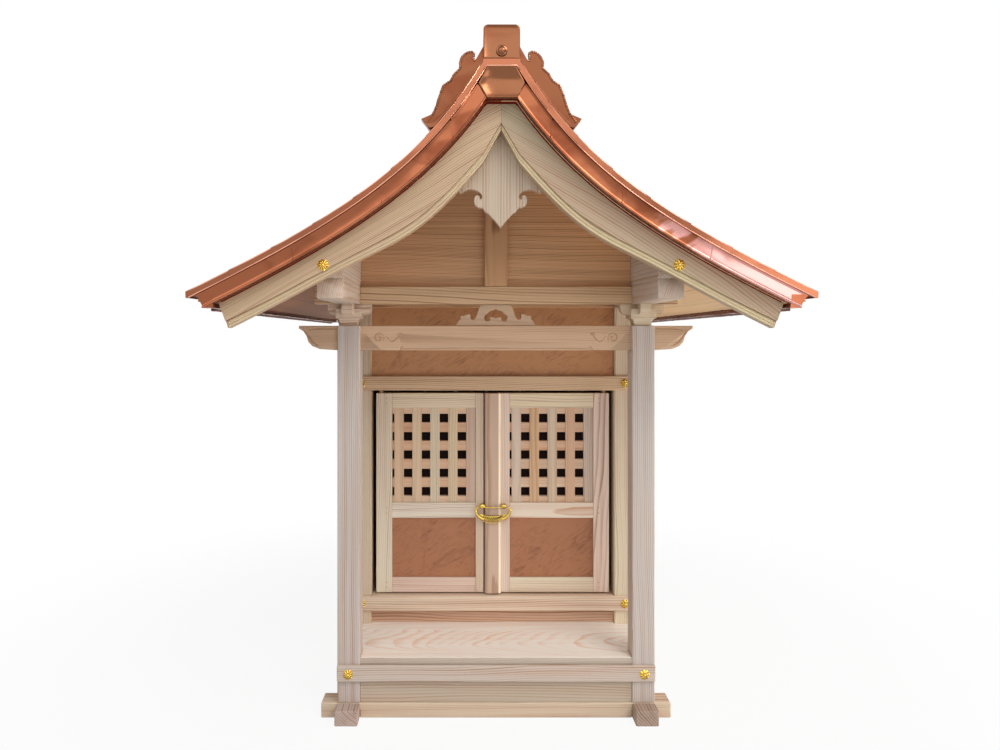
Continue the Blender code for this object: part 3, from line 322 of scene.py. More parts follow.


# %% [markdown]
# ## Sheet copper and brass
#
# New copper is nearly a mirror, so most of its look comes from what it reflects. The sheets were
# bent by hand and are never quite flat: a slow bump makes the reflections wander and a finer one
# leaves the small dents. The base colours are darker than new copper, a painted reflection of a
# darker room. A thin brown haze is partly where the metal was handled and partly painted dark
# reflections, and paler pink patches at the right end of the band are painted reflections. Copper
# turned under the eaves is painted dull dark brown as painted shade, so it isn't treated as bare
# metal at all.

# %%
# The copper colours are darker than new copper: a painted reflection of a darker room.
COPPER = tone(154, 92, 64)
COPPER_HAZE_AND_DARK_REFLECTION = tone(112, 58, 38)
REFLECTION_COPPER = tone(208, 152, 144)
BRASS = tone(214, 182, 92)


def sheet_copper(name, seed=0, waves=0.0022, haze_and_reflection=0.55, polish=0.12, bright=COPPER, reflection_from=None,
                 metal=1.0):
    """Copper sheet. To the right of reflection_from, paler pink patches are painted reflections."""
    finish = Finish(name, metallic=metal, roughness=0.22)
    spot = finish.place(shift=(seed * 1.3, seed * 2.1, seed * 0.7))
    slow = finish.cloud(spot, scale=7.0, detail=1.5, distortion=0.4)
    dents = finish.cloud(spot, scale=38.0, detail=1.0)
    rubbed_and_reflected = finish.cloud(finish.stretch(spot, (13.0, 13.0, 22.0)), detail=3.0, distortion=0.6)
    brushed = finish.cloud(finish.stretch(spot, (30.0, 900.0, 900.0)), detail=2.0)
    # Brown haze: partly handling marks, partly painted dark reflections.
    darkening = rubbed_and_reflected.between(0.42, 0.70) * haze_and_reflection
    colour = finish.blend(darkening, bright, COPPER_HAZE_AND_DARK_REFLECTION)
    # Paler pink patches towards the right: painted reflections.
    if reflection_from is not None:
        reach = finish.split(finish.place())[0]
        slanted = finish.place(turn=(0, 0.45, 0))
        patches = finish.cloud(finish.stretch(slanted, (16.0, 16.0, 60.0)), detail=2.0)
        reflection_patches = ((reach - reflection_from) / 0.11 + (patches - 0.5) * 2.4).between(0.10, 0.42)
        colour = finish.blend(reflection_patches * (1 - darkening * 0.6), colour, REFLECTION_COPPER)
    finish.feed(Base_Color=colour,
                Roughness=polish + rubbed_and_reflected.between(0.35, 0.8) * 0.16 + (brushed - 0.5) * 0.04)
    finish.bump(slow + dents * 0.07, waves, 1.0)
    return finish.material


def polished_brass(name, seed=0, bright=BRASS, dull=tone(128, 96, 34)):
    finish = Finish(name, metallic=1.0, roughness=0.2)
    spot = finish.place(shift=(seed * 1.1, seed, seed))
    cloud = finish.cloud(spot, scale=160.0, detail=3.0)
    finish.feed(Base_Color=finish.blend(cloud.between(0.45, 0.75) * 0.5, bright, dull),
                Roughness=0.14 + cloud.between(0.4, 0.8) * 0.16)
    finish.bump(cloud, 0.0004, 0.35)
    return finish.material


# These base colours are darkened below new copper as a painted reflection of a darker room.
copper_sheet = sheet_copper("bright_copper", haze_and_reflection=0.25, bright=tone(158, 98, 72))
copper_fascia = sheet_copper("fascia_copper", seed=3, waves=0.0032, haze_and_reflection=0.8, reflection_from=0.21)
copper_ridge = sheet_copper("ridge_copper", seed=5, waves=0.0007, polish=0.15, bright=tone(134, 87, 61))
copper_wing = sheet_copper("wing_copper", seed=6, waves=0.0016, haze_and_reflection=0.9, polish=0.2,
                           bright=tone(126, 78, 54))
# Pale copper for the verge beads: a painted highlight.
copper_highlight = sheet_copper("highlight_copper", seed=7, waves=0.0003, haze_and_reflection=0.3, bright=tone(232, 170, 142))
# Dark brown and not metal: painted shade for copper under the hems and the eaves.
copper_painted_shade = sheet_copper("shade_painted_copper", seed=11, waves=0.0050, haze_and_reflection=0.5, polish=0.6,
                             bright=tone(104, 46, 28), metal=0.0)
copper_shaded = sheet_copper("shaded_copper", seed=8, waves=0.0003, haze_and_reflection=0.2, polish=0.4,
                             bright=tone(120, 38, 30))
brass = polished_brass("polished_brass")
# Nearly black brass for the lock's cuts: painted shade.
dark_brass = polished_brass("cut_shade_brass", 2, tone(46, 30, 14), tone(26, 16, 8))
print("metal finishes:", copper_sheet.name, copper_fascia.name, copper_ridge.name, brass.name)

# %% [markdown]
# ## A finish for every timber
#
# Each timber was cut from its own stretch of log, so each one gets its own seed, its own distance
# from the heart and a slightly different tint. Posts are sawn with straight fine grain.
# Wide boards show arches.

# %%
def shade(colour, factor):
    return tuple(min(channel * factor, 0.95) for channel in colour)


def timber_for(name, box, grain, **changes):
    """Cuts a finish for one timber from its two corners."""
    seed = sum(ord(letter) * (place + 3) for place, letter in enumerate(name)) % 9973
    pick = random.Random(seed)
    centre = (Vector(box[0]) + Vector(box[1])) / 2
    tint = pick.uniform(0.95, 1.05)
    cream = pick.choice((CREAM, tone(224, 209, 181), tone(230, 207, 184)))
    angle = pick.uniform(0, 2 * math.pi)
    away = pick.uniform(0.07, 0.12)
    heart = (away * math.cos(angle), away * math.sin(angle))
    choices = dict(grain=grain, centre=centre, seed=seed, heart=heart, lean=pick.uniform(-0.03, 0.03),
                   ring=pick.uniform(0.0020, 0.0030), blush_share=pick.uniform(0.25, 0.7),
                   cream=shade(cream, tint), contrast=pick.uniform(0.5, 0.75))
    choices.update(changes)
    return wood("wood_" + name, **choices)


def dress(name, material):
    """Gives a loaded piece its finish."""
    piece = nodes[name]
    piece.data.materials.clear()
    piece.data.materials.append(material)
    return piece


GRAIN = {
    "X": "cross_sill_front cross_sill_back front_skirt_board front_floor_rail porch_floor "
         "door_sill_rail door_head_rail tie_beam gable_wall_front gable_wall_back "
         "bracket_left bracket_right body_ceiling",
    "Y": "sill_left sill_right purlin_left purlin_right ridge_beam roof_boards_left "
         "roof_boards_right body_floor",
    "Z": "porch_post_left porch_post_right body_post_front_left body_post_front_right "
         "body_post_back_left body_post_back_right gable_strut",
}
BOARD_LIKE = {"porch_floor", "gable_wall_front", "gable_wall_back", "body_ceiling", "body_floor",
              "roof_boards_left", "roof_boards_right"}
# The gable walls and the ceiling are painted darker and warmer than the other timbers: painted shade under
# the roof.
SHADED_GABLE = dict(cream=tone(226, 180, 134), late=tone(146, 94, 58), blush=tone(210, 152, 106), contrast=0.85)
# The left roof boards are painted dark brown as painted shade, and the right ones pale orange as painted
# light.
SHADED_SOFFIT = dict(cream=tone(166, 104, 54), late=tone(116, 68, 36), blush=tone(152, 98, 56), contrast=0.8)
LIT_SOFFIT = dict(cream=tone(255, 222, 174), blush=tone(252, 204, 148))
POST = dict(cream=tone(208, 200, 193), blush=tone(196, 174, 162), contrast=0.85)
LOOK = {
    "gable_wall_front": SHADED_GABLE, "gable_wall_back": SHADED_GABLE, "roof_boards_left": SHADED_SOFFIT,
    "gable_strut": dict(cream=tone(206, 160, 116), late=tone(140, 94, 60), blush=tone(184, 134, 92),
                        contrast=0.9),
    "tie_beam": dict(cream=tone(216, 182, 142), late=tone(146, 104, 70), blush=tone(192, 148, 108),
                     contrast=0.85, ring=0.0045, lean=0.03),
    "front_skirt_board": dict(cream=tone(196, 180, 160), contrast=0.95, lean=0.012),
    "front_floor_rail": dict(cream=tone(210, 198, 186), contrast=0.85),
    "door_head_rail": dict(cream=tone(228, 194, 156), late=tone(156, 114, 80), blush=tone(204, 158, 118),
                           contrast=0.8),
    "body_ceiling": SHADED_GABLE,
    "sill_left": dict(cream=tone(190, 170, 160), late=tone(140, 114, 104), contrast=0.9, ring=0.0034),
    "sill_right": dict(cream=tone(178, 154, 136), late=tone(116, 86, 68), contrast=1.0, ring=0.0040),
    "cross_sill_back": dict(cream=tone(214, 186, 150)),
    "door_sill_rail": dict(cream=tone(234, 216, 192)),
    "porch_post_left": POST, "porch_post_right": POST,
    # The porch floor is pale wood pushed nearly white, partly as painted light from above.
    "porch_floor": dict(cream=tone(254, 248, 238), late=tone(236, 194, 166), blush=tone(254, 240, 226),
                        contrast=0.62, ring=0.0034, lean=0.11, wobble=0.03, heart=(0.02, -0.09)),
    "roof_boards_right": LIT_SOFFIT,
}
for grain, names in GRAIN.items():
    for name in names.split():
        slot = "pale_board" if name in BOARD_LIKE else "pale_timber"
        dress(name, timber_for(name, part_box(name), grain, **LOOK.get(name, {})))
print("timbers dressed:", sum(len(names.split()) for names in GRAIN.values()))

# %% [markdown]
# ## Three ways of making a piece
#
# Nearly everything below is one of three shapes: a planed board with its corners eased, an outline
# cut from a board, or a row of rings skinned together, which serves for folded copper, mouldings
# and the lock. `add_piece` puts the mesh in the scene, hangs it on the body it moves with and hides
# the loaded pieces it stands for.

# %%
def add_mesh(name, work, material=None, smooth=0):
    """Turns an open mesh into an object of the scene."""
    mesh = bpy.data.meshes.new(name)
    work.to_mesh(mesh)
    work.free()
    if smooth:
        mesh.shade_smooth()
        mesh.set_sharp_from_angle(angle=math.radians(smooth))
    if material:
        mesh.materials.append(material)
    made = bpy.data.objects.new(name, mesh)
    bpy.context.scene.collection.objects.link(made)
    return made


def add_piece(name, work, material, body="root", stands_for=(), smooth=0):
    """Ends every builder: mesh, finish, body and the pieces it replaces."""
    bmesh.ops.recalc_face_normals(work, faces=work.faces)
    piece = add_mesh(name, work, material, smooth)
    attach(piece, body)
    if stands_for:
        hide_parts(*stands_for)
    return piece


def add_block(work, corner, opposite, ease=0.0):
    """A squared block in an open mesh, its edges planed off by ease."""
    sizes = [abs(b - a) for a, b in zip(corner, opposite)]
    centre = [(a + b) / 2 for a, b in zip(corner, opposite)]
    made = bmesh.ops.create_cube(work, size=1.0)["verts"]
    bmesh.ops.scale(work, vec=sizes, verts=made)
    bmesh.ops.translate(work, vec=centre, verts=made)
    if ease:
        edges = {edge for vert in made for edge in vert.link_edges}
        bmesh.ops.bevel(work, geom=list(edges), offset=ease, segments=2, profile=0.6, affect="EDGES")


def add_rings(work, rings):
    """Skins rings that all have the same number of points, and closes both ends."""
    rows = [[work.verts.new(point) for point in ring] for ring in rings]
    count = len(rows[0])
    for row, following in zip(rows, rows[1:]):
        for index in range(count):
            after = (index + 1) % count
            work.faces.new((row[index], row[after], following[after], following[index]))
    work.faces.new(rows[0])
    work.faces.new(rows[-1][::-1])


def put(point, depth, axis):
    """A point of a flat drawing that looks along the axis, set at a depth."""
    spots = {"X": (depth, *point), "Y": (point[0], depth, point[1]), "Z": (*point, depth)}
    return spots[axis]


def add_outline(work, outline, axis, near, far):
    """An outline with thickness. The axis is the direction of the thickness."""
    add_rings(work, [[put(point, depth, axis) for point in outline] for depth in (near, far)])


def circle(centre, radius, depth, around, axis="Y"):
    """One round ring. A row of them makes a turned shape."""
    angles = [2 * math.pi * k / around for k in range(around)]
    return [put((centre[0] + radius * math.cos(angle), centre[1] + radius * math.sin(angle)), depth, axis)
            for angle in angles]


def round_off(piece, width):
    """Rounds the edges of a finished piece with a modifier."""
    rounded = piece.modifiers.new("rounded", "BEVEL")
    rounded.width = width
    rounded.segments = 2
    rounded.limit_method = "ANGLE"
    rounded.angle_limit = math.radians(40)


def board(name, corner, opposite, grain, body="root", stands_for=(), ease=0.0007, **look):
    """One planed board with its own finish."""
    work = bmesh.new()
    add_block(work, corner, opposite, ease)
    material = timber_for(name, (corner, opposite), grain, **look)
    return add_piece(name, work, material, body, stands_for)


# %% [markdown]
# ## The rails round the body, the skirt and the walls
#
# A rail that runs round three sides is really three sticks. Each is made on its own, so that the
# grain turns the corner with the timber, and the back stick is butted between the side ones.
# The walls are upright boards with a fine open joint between them.

# %%
def three_sided(name, thickness, gap=0.0002):
    """Two side sticks and a back one in place of one bent round three sides."""
    corner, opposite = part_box(name)
    sticks = {
        "left": ((corner.x, corner.y, corner.z), (corner.x + thickness, opposite.y, opposite.z), "Y"),
        "right": ((opposite.x - thickness, corner.y, corner.z), tuple(opposite), "Y"),
        "back": ((corner.x + thickness + gap, opposite.y - thickness, corner.z),
                 (opposite.x - thickness - gap, opposite.y, opposite.z), "X"),
    }
    for label, (start, end, grain) in sticks.items():
        board(f"{name}_{label}", start, end, grain, stands_for=(name,) if label == "back" else ())


for name, thickness in (("body_rail_low", 0.0054), ("body_rail_high", 0.0054), ("base_boards", 0.010)):
    three_sided(name, thickness)
corner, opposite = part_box("porch_floor")
NOSING = 0.0004
board("floor_nosing", (corner.x, corner.y - NOSING, corner.z), (opposite.x, corner.y, opposite.z - NOSING),
      "X", ease=0.0001, cream=tone(204, 192, 176), blush=tone(196, 172, 156), contrast=0.5)
HALF_JOINT = 0.00025


def boarded_wall(name, across, count):
    """A wall made of upright boards laid edge to edge."""
    corner, opposite = (list(c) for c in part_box(name))
    index = "XYZ".index(across)
    width = (opposite[index] - corner[index]) / count
    for step in range(count):
        start, end = list(corner), list(opposite)
        start[index] = corner[index] + step * width + (HALF_JOINT if step else 0)
        end[index] = corner[index] + (step + 1) * width - (HALF_JOINT if step < count - 1 else 0)
        board(f"{name}_{step + 1}", start, end, "Z", ease=0.0006, stands_for=(name,) if step == 0 else ())


boarded_wall("side_wall_left", "Y", 5)
boarded_wall("side_wall_right", "Y", 5)
boarded_wall("back_wall", "X", 6)
print("rails and wall boards made")

# %% [markdown]
# ## Figured panels
#
# One finish with a different seed for each panel, so the two doors aren't twins. The one over the
# doors is a paler cut, and the sill under them is plain wood again.

# %%
for seed, name in enumerate(("left_door_panel", "right_door_panel")):
    dress(name, figured("figured_" + name, seed + 2, PANEL_LIGHT, PANEL_DARK))
dress("transom_panel", figured("figured_transom_panel", 5, PALE_PANEL_LIGHT, PALE_PANEL_DARK))
sill_wood = timber_for("sill_panel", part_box("sill_panel"), "X", cream=tone(208, 172, 146),
                       late=tone(150, 100, 70), blush=tone(194, 146, 112), contrast=1.0)
dress("sill_panel", sill_wood)

# %% [markdown]
# ## Door frames
#
# A panelled door is held together by its corners. The stiles run the full height and the rails are
# tenoned between them, so the grain turns at each joint and a hair-fine line shows where the
# shoulder meets the stile. Each part was cut from its own board, some yellow and some pink. Round
# pivots at the top and the foot take the place of hinges.

# %%
def leaf_sizes(side):
    """Openings of one leaf, read from its panel and lattice."""
    panel, lattice = side + "_door_panel", side + "_door_lattice"
    play = 0.0003
    return dict(low_x=low(side + "_door_frame", "X"), high_x=high(side + "_door_frame", "X"),
                foot=low(panel, "Z") - 0.027, top=high(lattice, "Z") + 0.0268,
                left=low(lattice, "X") - play, right=high(lattice, "X") + play,
                panel_low=low(panel, "Z") - play, panel_high=high(panel, "Z") + play,
                window_low=low(lattice, "Z") - play, window_high=high(lattice, "Z") + play)


DOOR_BACK = high("left_door_frame", "Y")
DOOR_SHADES = {
    ("left", "left"): dict(cream=tone(236, 226, 202)), ("left", "right"): dict(cream=tone(232, 214, 188)),
    ("right", "left"): dict(cream=tone(236, 216, 200)),
    ("right", "right"): dict(cream=tone(239, 216, 199), blush=tone(226, 182, 158), contrast=0.8),
    ("left", "top"): dict(cream=tone(236, 220, 190)), ("right", "top"): dict(cream=tone(238, 222, 190)),
    ("left", "middle"): dict(cream=tone(242, 236, 218)),
    ("right", "middle"): dict(cream=tone(242, 226, 206), late=tone(206, 146, 104), contrast=0.8),
    ("left", "foot"): dict(cream=tone(236, 216, 201), late=tone(196, 150, 128), contrast=0.8),
    ("right", "foot"): dict(cream=tone(240, 228, 200)),
}
PIVOT_WOOD = wood("pin_wood", grain="Y", cream=tone(206, 176, 140), late=tone(150, 112, 78), seed=71)
PIVOT_RADIUS = 0.004
ASTRAGAL_WIDTH = 0.0288
SHOULDER = 0.00018
SET_BACK = 0.00012


def door_frame(side):
    size = leaf_sizes(side)
    body = side + "_door"
    stiles = {"left": (size["low_x"], size["left"]), "right": (size["right"], size["high_x"])}
    for label, (start, end) in stiles.items():
        stands_for = (side + "_door_frame",) if label == "left" else ()
        if side == "right" and label == "left":
            start = start + ASTRAGAL_WIDTH + SHOULDER
        board(f"{side}_{label}_stile", (start, DOOR_Y, size["foot"]), (end, DOOR_BACK, size["top"]),
              "Z", body, stands_for, ease=0.0008, **DOOR_SHADES[side, label])
    rails = {"top": (size["window_high"], size["top"]), "middle": (size["panel_high"], size["window_low"]),
             "foot": (size["foot"], size["panel_low"])}
    for label, (start, end) in rails.items():
        board(f"{side}_{label}_rail", (size["left"] + SHOULDER, DOOR_Y + SET_BACK, start),
              (size["right"] - SHOULDER, DOOR_BACK - SET_BACK, end), "X", body,
              **DOOR_SHADES[side, label])
    hinge = [joint for joint in frame["joints"] if joint["child"] == body][0]["pos_m"]
    for label, gap in (("top", 0.011), ("foot", -0.0075)):
        pivot = bmesh.new()
        add_rings(pivot, [circle(hinge[:2], PIVOT_RADIUS, z, 16, "Z") for z in
                          (size[label] - math.copysign(0.004, gap), size[label] + gap)])
        add_piece(f"{side}_pivot_{label}", pivot, PIVOT_WOOD, body, smooth=40)


for side, _ in SIDES:
    door_frame(side)

# %% [markdown]
# ## The astragal
#
# The right leaf carries a raised strip that covers the meeting of the two. Its front corners are
# planed to broad chamfers. The right one is painted pale as a painted highlight from the light at
# the right, which shows as a light line.

# %%
BEVEL, HIGHLIGHT_WIDTH = 0.0030, 0.0042
ASTRAGAL_Y = low("right_door_frame", "Y")
left = low("right_door_frame", "X")
right = left + ASTRAGAL_WIDTH
size = leaf_sizes("right")
split = [(right - HIGHLIGHT_WIDTH, ASTRAGAL_Y), (right - HIGHLIGHT_WIDTH, DOOR_BACK)]
red_part = [(left, DOOR_BACK), (left, ASTRAGAL_Y + BEVEL), (left + BEVEL, ASTRAGAL_Y), *split]
pale_part = [*split[::-1], (right - BEVEL, ASTRAGAL_Y + 0.0002), (right, ASTRAGAL_Y + BEVEL),
             (right, DOOR_BACK)]
# The pale strip on the right chamfer is a painted highlight, where the light from the right falls.
sapwood = wood("sapwood", "Z", (right, ASTRAGAL_Y, 0.3), 4, cream=tone(250, 234, 206),
               late=tone(226, 190, 150), blush_share=0.1)
heartwood = timber_for("astragal", ((left, ASTRAGAL_Y, size["foot"]), (right, DOOR_BACK, size["top"])), "Z",
                       cream=tone(212, 186, 162), blush=tone(204, 160, 138), contrast=0.85, lean=0.004,
                       wobble=0.004)
for name, part, finish in (("astragal_sapwood", pale_part, sapwood), ("astragal", red_part, heartwood)):
    work = bmesh.new()
    add_outline(work, part, "Z", size["foot"], size["top"])
    add_piece(name, work, finish, "right_door")

# %% [markdown]
# ## Lattices
#
# The lattice is two layers of thin bars halved into each other. The uprights come forward and are
# paler; the level bars lie a little behind and are painted redder, a painted shade for their place
# behind the uprights. Every bar is a separate piece here, because a grid cut from one mesh would
# have its grain running one way only.

# %%
UPRIGHT_SHADES = {
    "left": ((232, 200, 166), (226, 200, 168), (228, 214, 186), (228, 206, 172), (214, 194, 178)),
    "right": ((222, 202, 182), (224, 184, 142), (222, 214, 192), (226, 187, 156), (216, 200, 184)),
}
SLIT, UPRIGHT, HOLE_HIGH, BAR_HIGH = 0.0036, 0.017, 0.016, 0.0174
HOLES_ACROSS, ROWS = 4, 5
UPRIGHT_THINNER, LEVEL_INSET = 0.0042, 0.0015


def lattice(side):
    name = side + "_door_lattice"
    body = side + "_door"
    corner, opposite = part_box(name)
    hole = (opposite.x - corner.x - SLIT - (HOLES_ACROSS + 1) * UPRIGHT) / HOLES_ACROSS
    pick = random.Random(side)
    for index in range(HOLES_ACROSS + 1):
        start = corner.x + SLIT + index * (UPRIGHT + hole)
        board(f"{name}_upright_{index + 1}", (start, corner.y, corner.z),
              (start + UPRIGHT, opposite.y - UPRIGHT_THINNER, opposite.z), "Z", body,
              (name,) if index == 0 else (), ease=0.0006, blush_share=0.15 + 0.7 * pick.random(),
              contrast=0.6, lean=0.004, cream=tone(*UPRIGHT_SHADES[side][index]), blush=tone(220, 174, 136))
    edge = (opposite.z - corner.z - ROWS * HOLE_HIGH - (ROWS - 1) * BAR_HIGH) / 2
    bars = [(corner.z, corner.z + edge)]
    for row in range(1, ROWS):
        start = corner.z + edge + HOLE_HIGH + (row - 1) * (BAR_HIGH + HOLE_HIGH)
        bars.append((start, start + BAR_HIGH))
    bars.append((opposite.z - edge, opposite.z))
    # The level bars are painted redder than the uprights: painted shade for their place behind them.
    for index, (foot, top) in enumerate(bars):
        board(f"{name}_level_{index + 1}", (corner.x, corner.y + LEVEL_INSET, foot),
              (opposite.x, opposite.y, top), "X", body, ease=0.0005, ring=0.0017, contrast=0.5,
              cream=shade(tone(232, 200, 170), 0.92 + 0.1 * pick.random()), blush=tone(216, 158, 118),
              blush_share=0.8)


for side, _ in SIDES:
    lattice(side)
print("doors made")

# %% [markdown]
# ## The dark inside
#
# Little light gets in between the bars, so the inside of the shrine reads nearly black. One thin
# board painted nearly black behind each lattice stands in for that darkness: a painted shade.

# %%
# A nearly black board stands in for the dark inside: painted shade.
darkening = Finish("painted_shade_board", roughness=0.95)
streaks = darkening.cloud(darkening.stretch(darkening.place(), (400.0, 400.0, 30.0)), detail=2.0)
darkening.feed(Base_Color=darkening.blend(streaks, (0.009, 0.003, 0.003), (0.026, 0.008, 0.006)))
darkening.bump(streaks, 0.0002, 0.6)
SHADE_BOARD_GAP, SHADE_BOARD_THICKNESS, SHADE_BOARD_LAP = 0.0004, 0.0024, 0.004
SHADE_BOARD_Y = DOOR_BACK + SHADE_BOARD_GAP
for side, _ in SIDES:
    corner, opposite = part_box(side + "_door_lattice")
    work = bmesh.new()
    add_block(work, (corner.x - SHADE_BOARD_LAP, SHADE_BOARD_Y, corner.z - SHADE_BOARD_LAP),
              (opposite.x + SHADE_BOARD_LAP, SHADE_BOARD_Y + SHADE_BOARD_THICKNESS, opposite.z + SHADE_BOARD_LAP), 0.0005)
    add_piece(side + "_door_shade_board", work, darkening.material, side + "_door")

# %% [markdown]
# ## Bargeboards and their moulding
#
# The two front boards follow the roof's curve but are sawn from straight planks, so their grain
# runs straight and is cut off by the curve. It leans with the middle of each board. Along the
# lower edge runs a planed strip: a groove, a small bead and a square edge. The strip is swept in
# the same step along the roof line, and it tapers towards the ridge as the step does.

# %%
BARGE_Y = low("bargeboard_front_right", "Y")
BARGE_END = high("bargeboard_front_right", "X")
BARGE_FACES = {"front": BARGE_Y, "back": high("bargeboard_back_right", "Y")}
STEP = 0.003
LEAN = math.atan(0.62)


def barge_depth(x):
    return 0.036 + 0.010 * math.exp(-((x - 0.115) / 0.075) ** 2)


def barge_foot(x):
    """Lower edge of a bargeboard, carried on straight to the middle."""
    out = abs(x) - RIDGE_HALF
    straight = (SLOPE_AT_EAVE + SLOPE_ADDED) * min(out, 0)
    return roof_line(x) - straight - (ROOF_THICKNESS + barge_depth(x)) * math.hypot(1, roof_slope(x))


def step_height(x):
    return (0.0085 - 0.0040 * math.exp(-x / 0.05)) * math.hypot(1, roof_slope(x))


# The right bargeboard is painted darker than the left: painted shade.
BARGE_LOOKS = {"left": dict(cream=tone(202, 178, 140), contrast=0.75),
               "right": dict(cream=tone(180, 166, 136), contrast=0.55)}
MOULDING = ((0.00, 0.0), (0.00, 0.9), (0.16, 1.0), (0.30, 0.45), (0.34, 0.30), (0.42, 0.75), (0.52, 0.95),
            (0.62, 0.95), (0.70, 0.70), (0.74, 0.10), (0.90, 0.10), (0.96, 0.35), (0.985, 0.0))
MOULDING_START, MOULDING_END, MOULDING_STEPS = 0.0006, BARGE_END - 0.0135, 60
MOULDING_SEAT, MOULDING_PROUD = STEP - 0.00005, 0.0024

for row, _ in ENDS:
    for label, side in SIDES:
        name = f"bargeboard_{row}_{label}"
        dress(name, timber_for(name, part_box(name), "X", slope=-side * LEAN, wobble=0.03, blush_share=0.5,
                               late=tone(134, 96, 66), **BARGE_LOOKS[label]))

for row, way in ENDS:
    face = BARGE_FACES[row]
    for label, side in SIDES:
        name = f"moulding_{row}_{label}"
        rings = []
        for step in range(MOULDING_STEPS + 1):
            x = MOULDING_START + (MOULDING_END - MOULDING_START) * step / MOULDING_STEPS
            foot, rise = barge_foot(x), step_height(x)
            rings.append([(side * x, face + way * (MOULDING_PROUD * out - MOULDING_SEAT), foot + rise * up)
                          for up, out in MOULDING])
        work = bmesh.new()
        add_rings(work, rings)
        material = timber_for(name, ((0, face, 0.7), (side * 0.4, face, 0.9)), "X",
                              slope=-side * LEAN, cream=tone(214, 198, 160), contrast=0.2)
        add_piece(name, work, material, smooth=35)
print("mouldings swept along", round(rafter_length(RIDGE_HALF, BARGE_END) * 1000), "mm a side")

# %% [markdown]
# ## Sawn shapes: the pendant and the strut
#
# A pendant hangs in the angle of the bargeboards, sawn to a leaf with a curl at each side. A smaller
# board stands on the beam below it, with two spread legs, a curled cloud at each foot and a pierced
# middle. Half of each outline is written down in millimetres and mirrored. The outline, with its
# hole if it has one, is filled with triangles and pushed back to give it its thickness. The edges
# are eased all round, which shows as a fine line along the curls.

# %%
MM = 0.001
PENDANT_HALF = ((0.0, 142.3), (12.0, 142.3), (59.0, 52.6), (57.6, 50.2), (55.2, 49.1), (49.3, 52.0),
                (44.4, 54.2), (37.6, 53.6), (30.8, 51.1), (26.7, 47.2), (25.5, 43.6), (26.6, 40.6),
                (28.8, 39.8), (29.2, 43.9), (32.7, 46.4), (35.7, 43.9), (37.0, 38.4), (36.1, 33.5),
                (32.7, 29.6), (28.8, 28.3), (24.9, 28.1), (23.2, 25.7), (21.6, 22.4), (18.1, 21.2),
                (15.4, 18.5), (13.3, 16.0), (8.4, 11.1), (4.5, 6.2), (0.0, 0.0))
STRUT_HALF = ((0.0, 0.0), (64.3, 0.0), (62.1, 5.0), (57.9, 9.0), (56.3, 10.2), (57.6, 12.6), (55.6, 14.8),
              (52.2, 14.1), (48.6, 15.6), (45.0, 16.8), (41.6, 16.9), (41.3, 13.9), (40.8, 10.4), (38.2, 8.5),
              (35.2, 9.0), (32.6, 11.8), (30.4, 16.6), (28.6, 22.0), (26.8, 26.8), (24.2, 30.2), (20.0, 31.3),
              (0.0, 31.3))
EYE_HALF = ((0.0, 25.0), (3.0, 22.9), (8.0, 22.2), (11.6, 20.0), (13.8, 17.0), (17.0, 15.8), (19.2, 12.4),
            (18.2, 8.4), (14.6, 6.2), (10.8, 6.8), (8.8, 9.2), (9.4, 12.0), (6.0, 12.6), (2.4, 11.6),
            (0.0, 10.4))


def sawn(name, node, halves, ease, **look):
    """A flat board sawn to mirrored outlines, as tall and thick as the loaded piece it stands for."""
    corner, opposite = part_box(node)
    stretch = (opposite.z - corner.z) / max(z for _, z in halves[0])
    work = bmesh.new()
    for half in halves:
        outline = list(half) + [(-x, z) for x, z in half[::-1] if x > 0.001]
        verts = [work.verts.new((x * MM, corner.y, corner.z + z * stretch)) for x, z in outline]
        for first, second in zip(verts, verts[1:] + verts[:1]):
            work.edges.new((first, second))
    filled = bmesh.ops.triangle_fill(work, edges=work.edges[:], use_beauty=True)["geom"]
    faces = [item for item in filled if isinstance(item, bmesh.types.BMFace)]
    pushed = bmesh.ops.extrude_face_region(work, geom=faces)["geom"]
    bmesh.ops.translate(work, vec=(0, opposite.y - corner.y, 0),
                        verts=[item for item in pushed if isinstance(item, bmesh.types.BMVert)])
    gaps = sum(len(edge.link_faces) != 2 for edge in work.edges)
    print(name, "has", len(work.faces), "faces and", gaps, "open edges")
    material = timber_for(name, (corner, opposite), **look)
    round_off(add_piece(name, work, material, stands_for=(node,)), ease)


sawn("sawn_pendant", "gable_pendant", (PENDANT_HALF,), 0.0006, grain="Z", ring=0.0042, lean=0.004,
     wobble=0.004, heart=(0.012, 0.16), contrast=0.62, blush_share=0.7, late=tone(152, 112, 86),
     cream=tone(198, 182, 160))
sawn("sawn_strut", "frog_leg_strut", (STRUT_HALF, EYE_HALF), 0.0004, grain="X", cream=tone(204, 176, 146),
     blush=tone(196, 150, 116), contrast=0.4)

# %% [markdown]
# ## Carving the rainbow beam
#
# The beam over the porch has a long bead cut along its foot, and at each end a curl, a short vine
# and a hollow where the beam is thinned to enter the post. The noses outside the posts only have
# a line that follows their edge.
#
# Carving means taking wood away, so a gouge is swept along each drawn line and subtracted from a
# copy of the beam. A gouge here is a half-round tube that dives in at the start and climbs out at
# the end, which is what gives a cut line its swelling and its fine tips.

# %%
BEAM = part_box("rainbow_beam")
BEAM_FACE = BEAM[0].y
SLEEVE_DEPTH = 0.0012
GOUGE = ((-1.25, -0.4), (-0.7, 0.45), (0, 1.0), (0.7, 0.45), (1.25, -0.4), (0, -1.2))


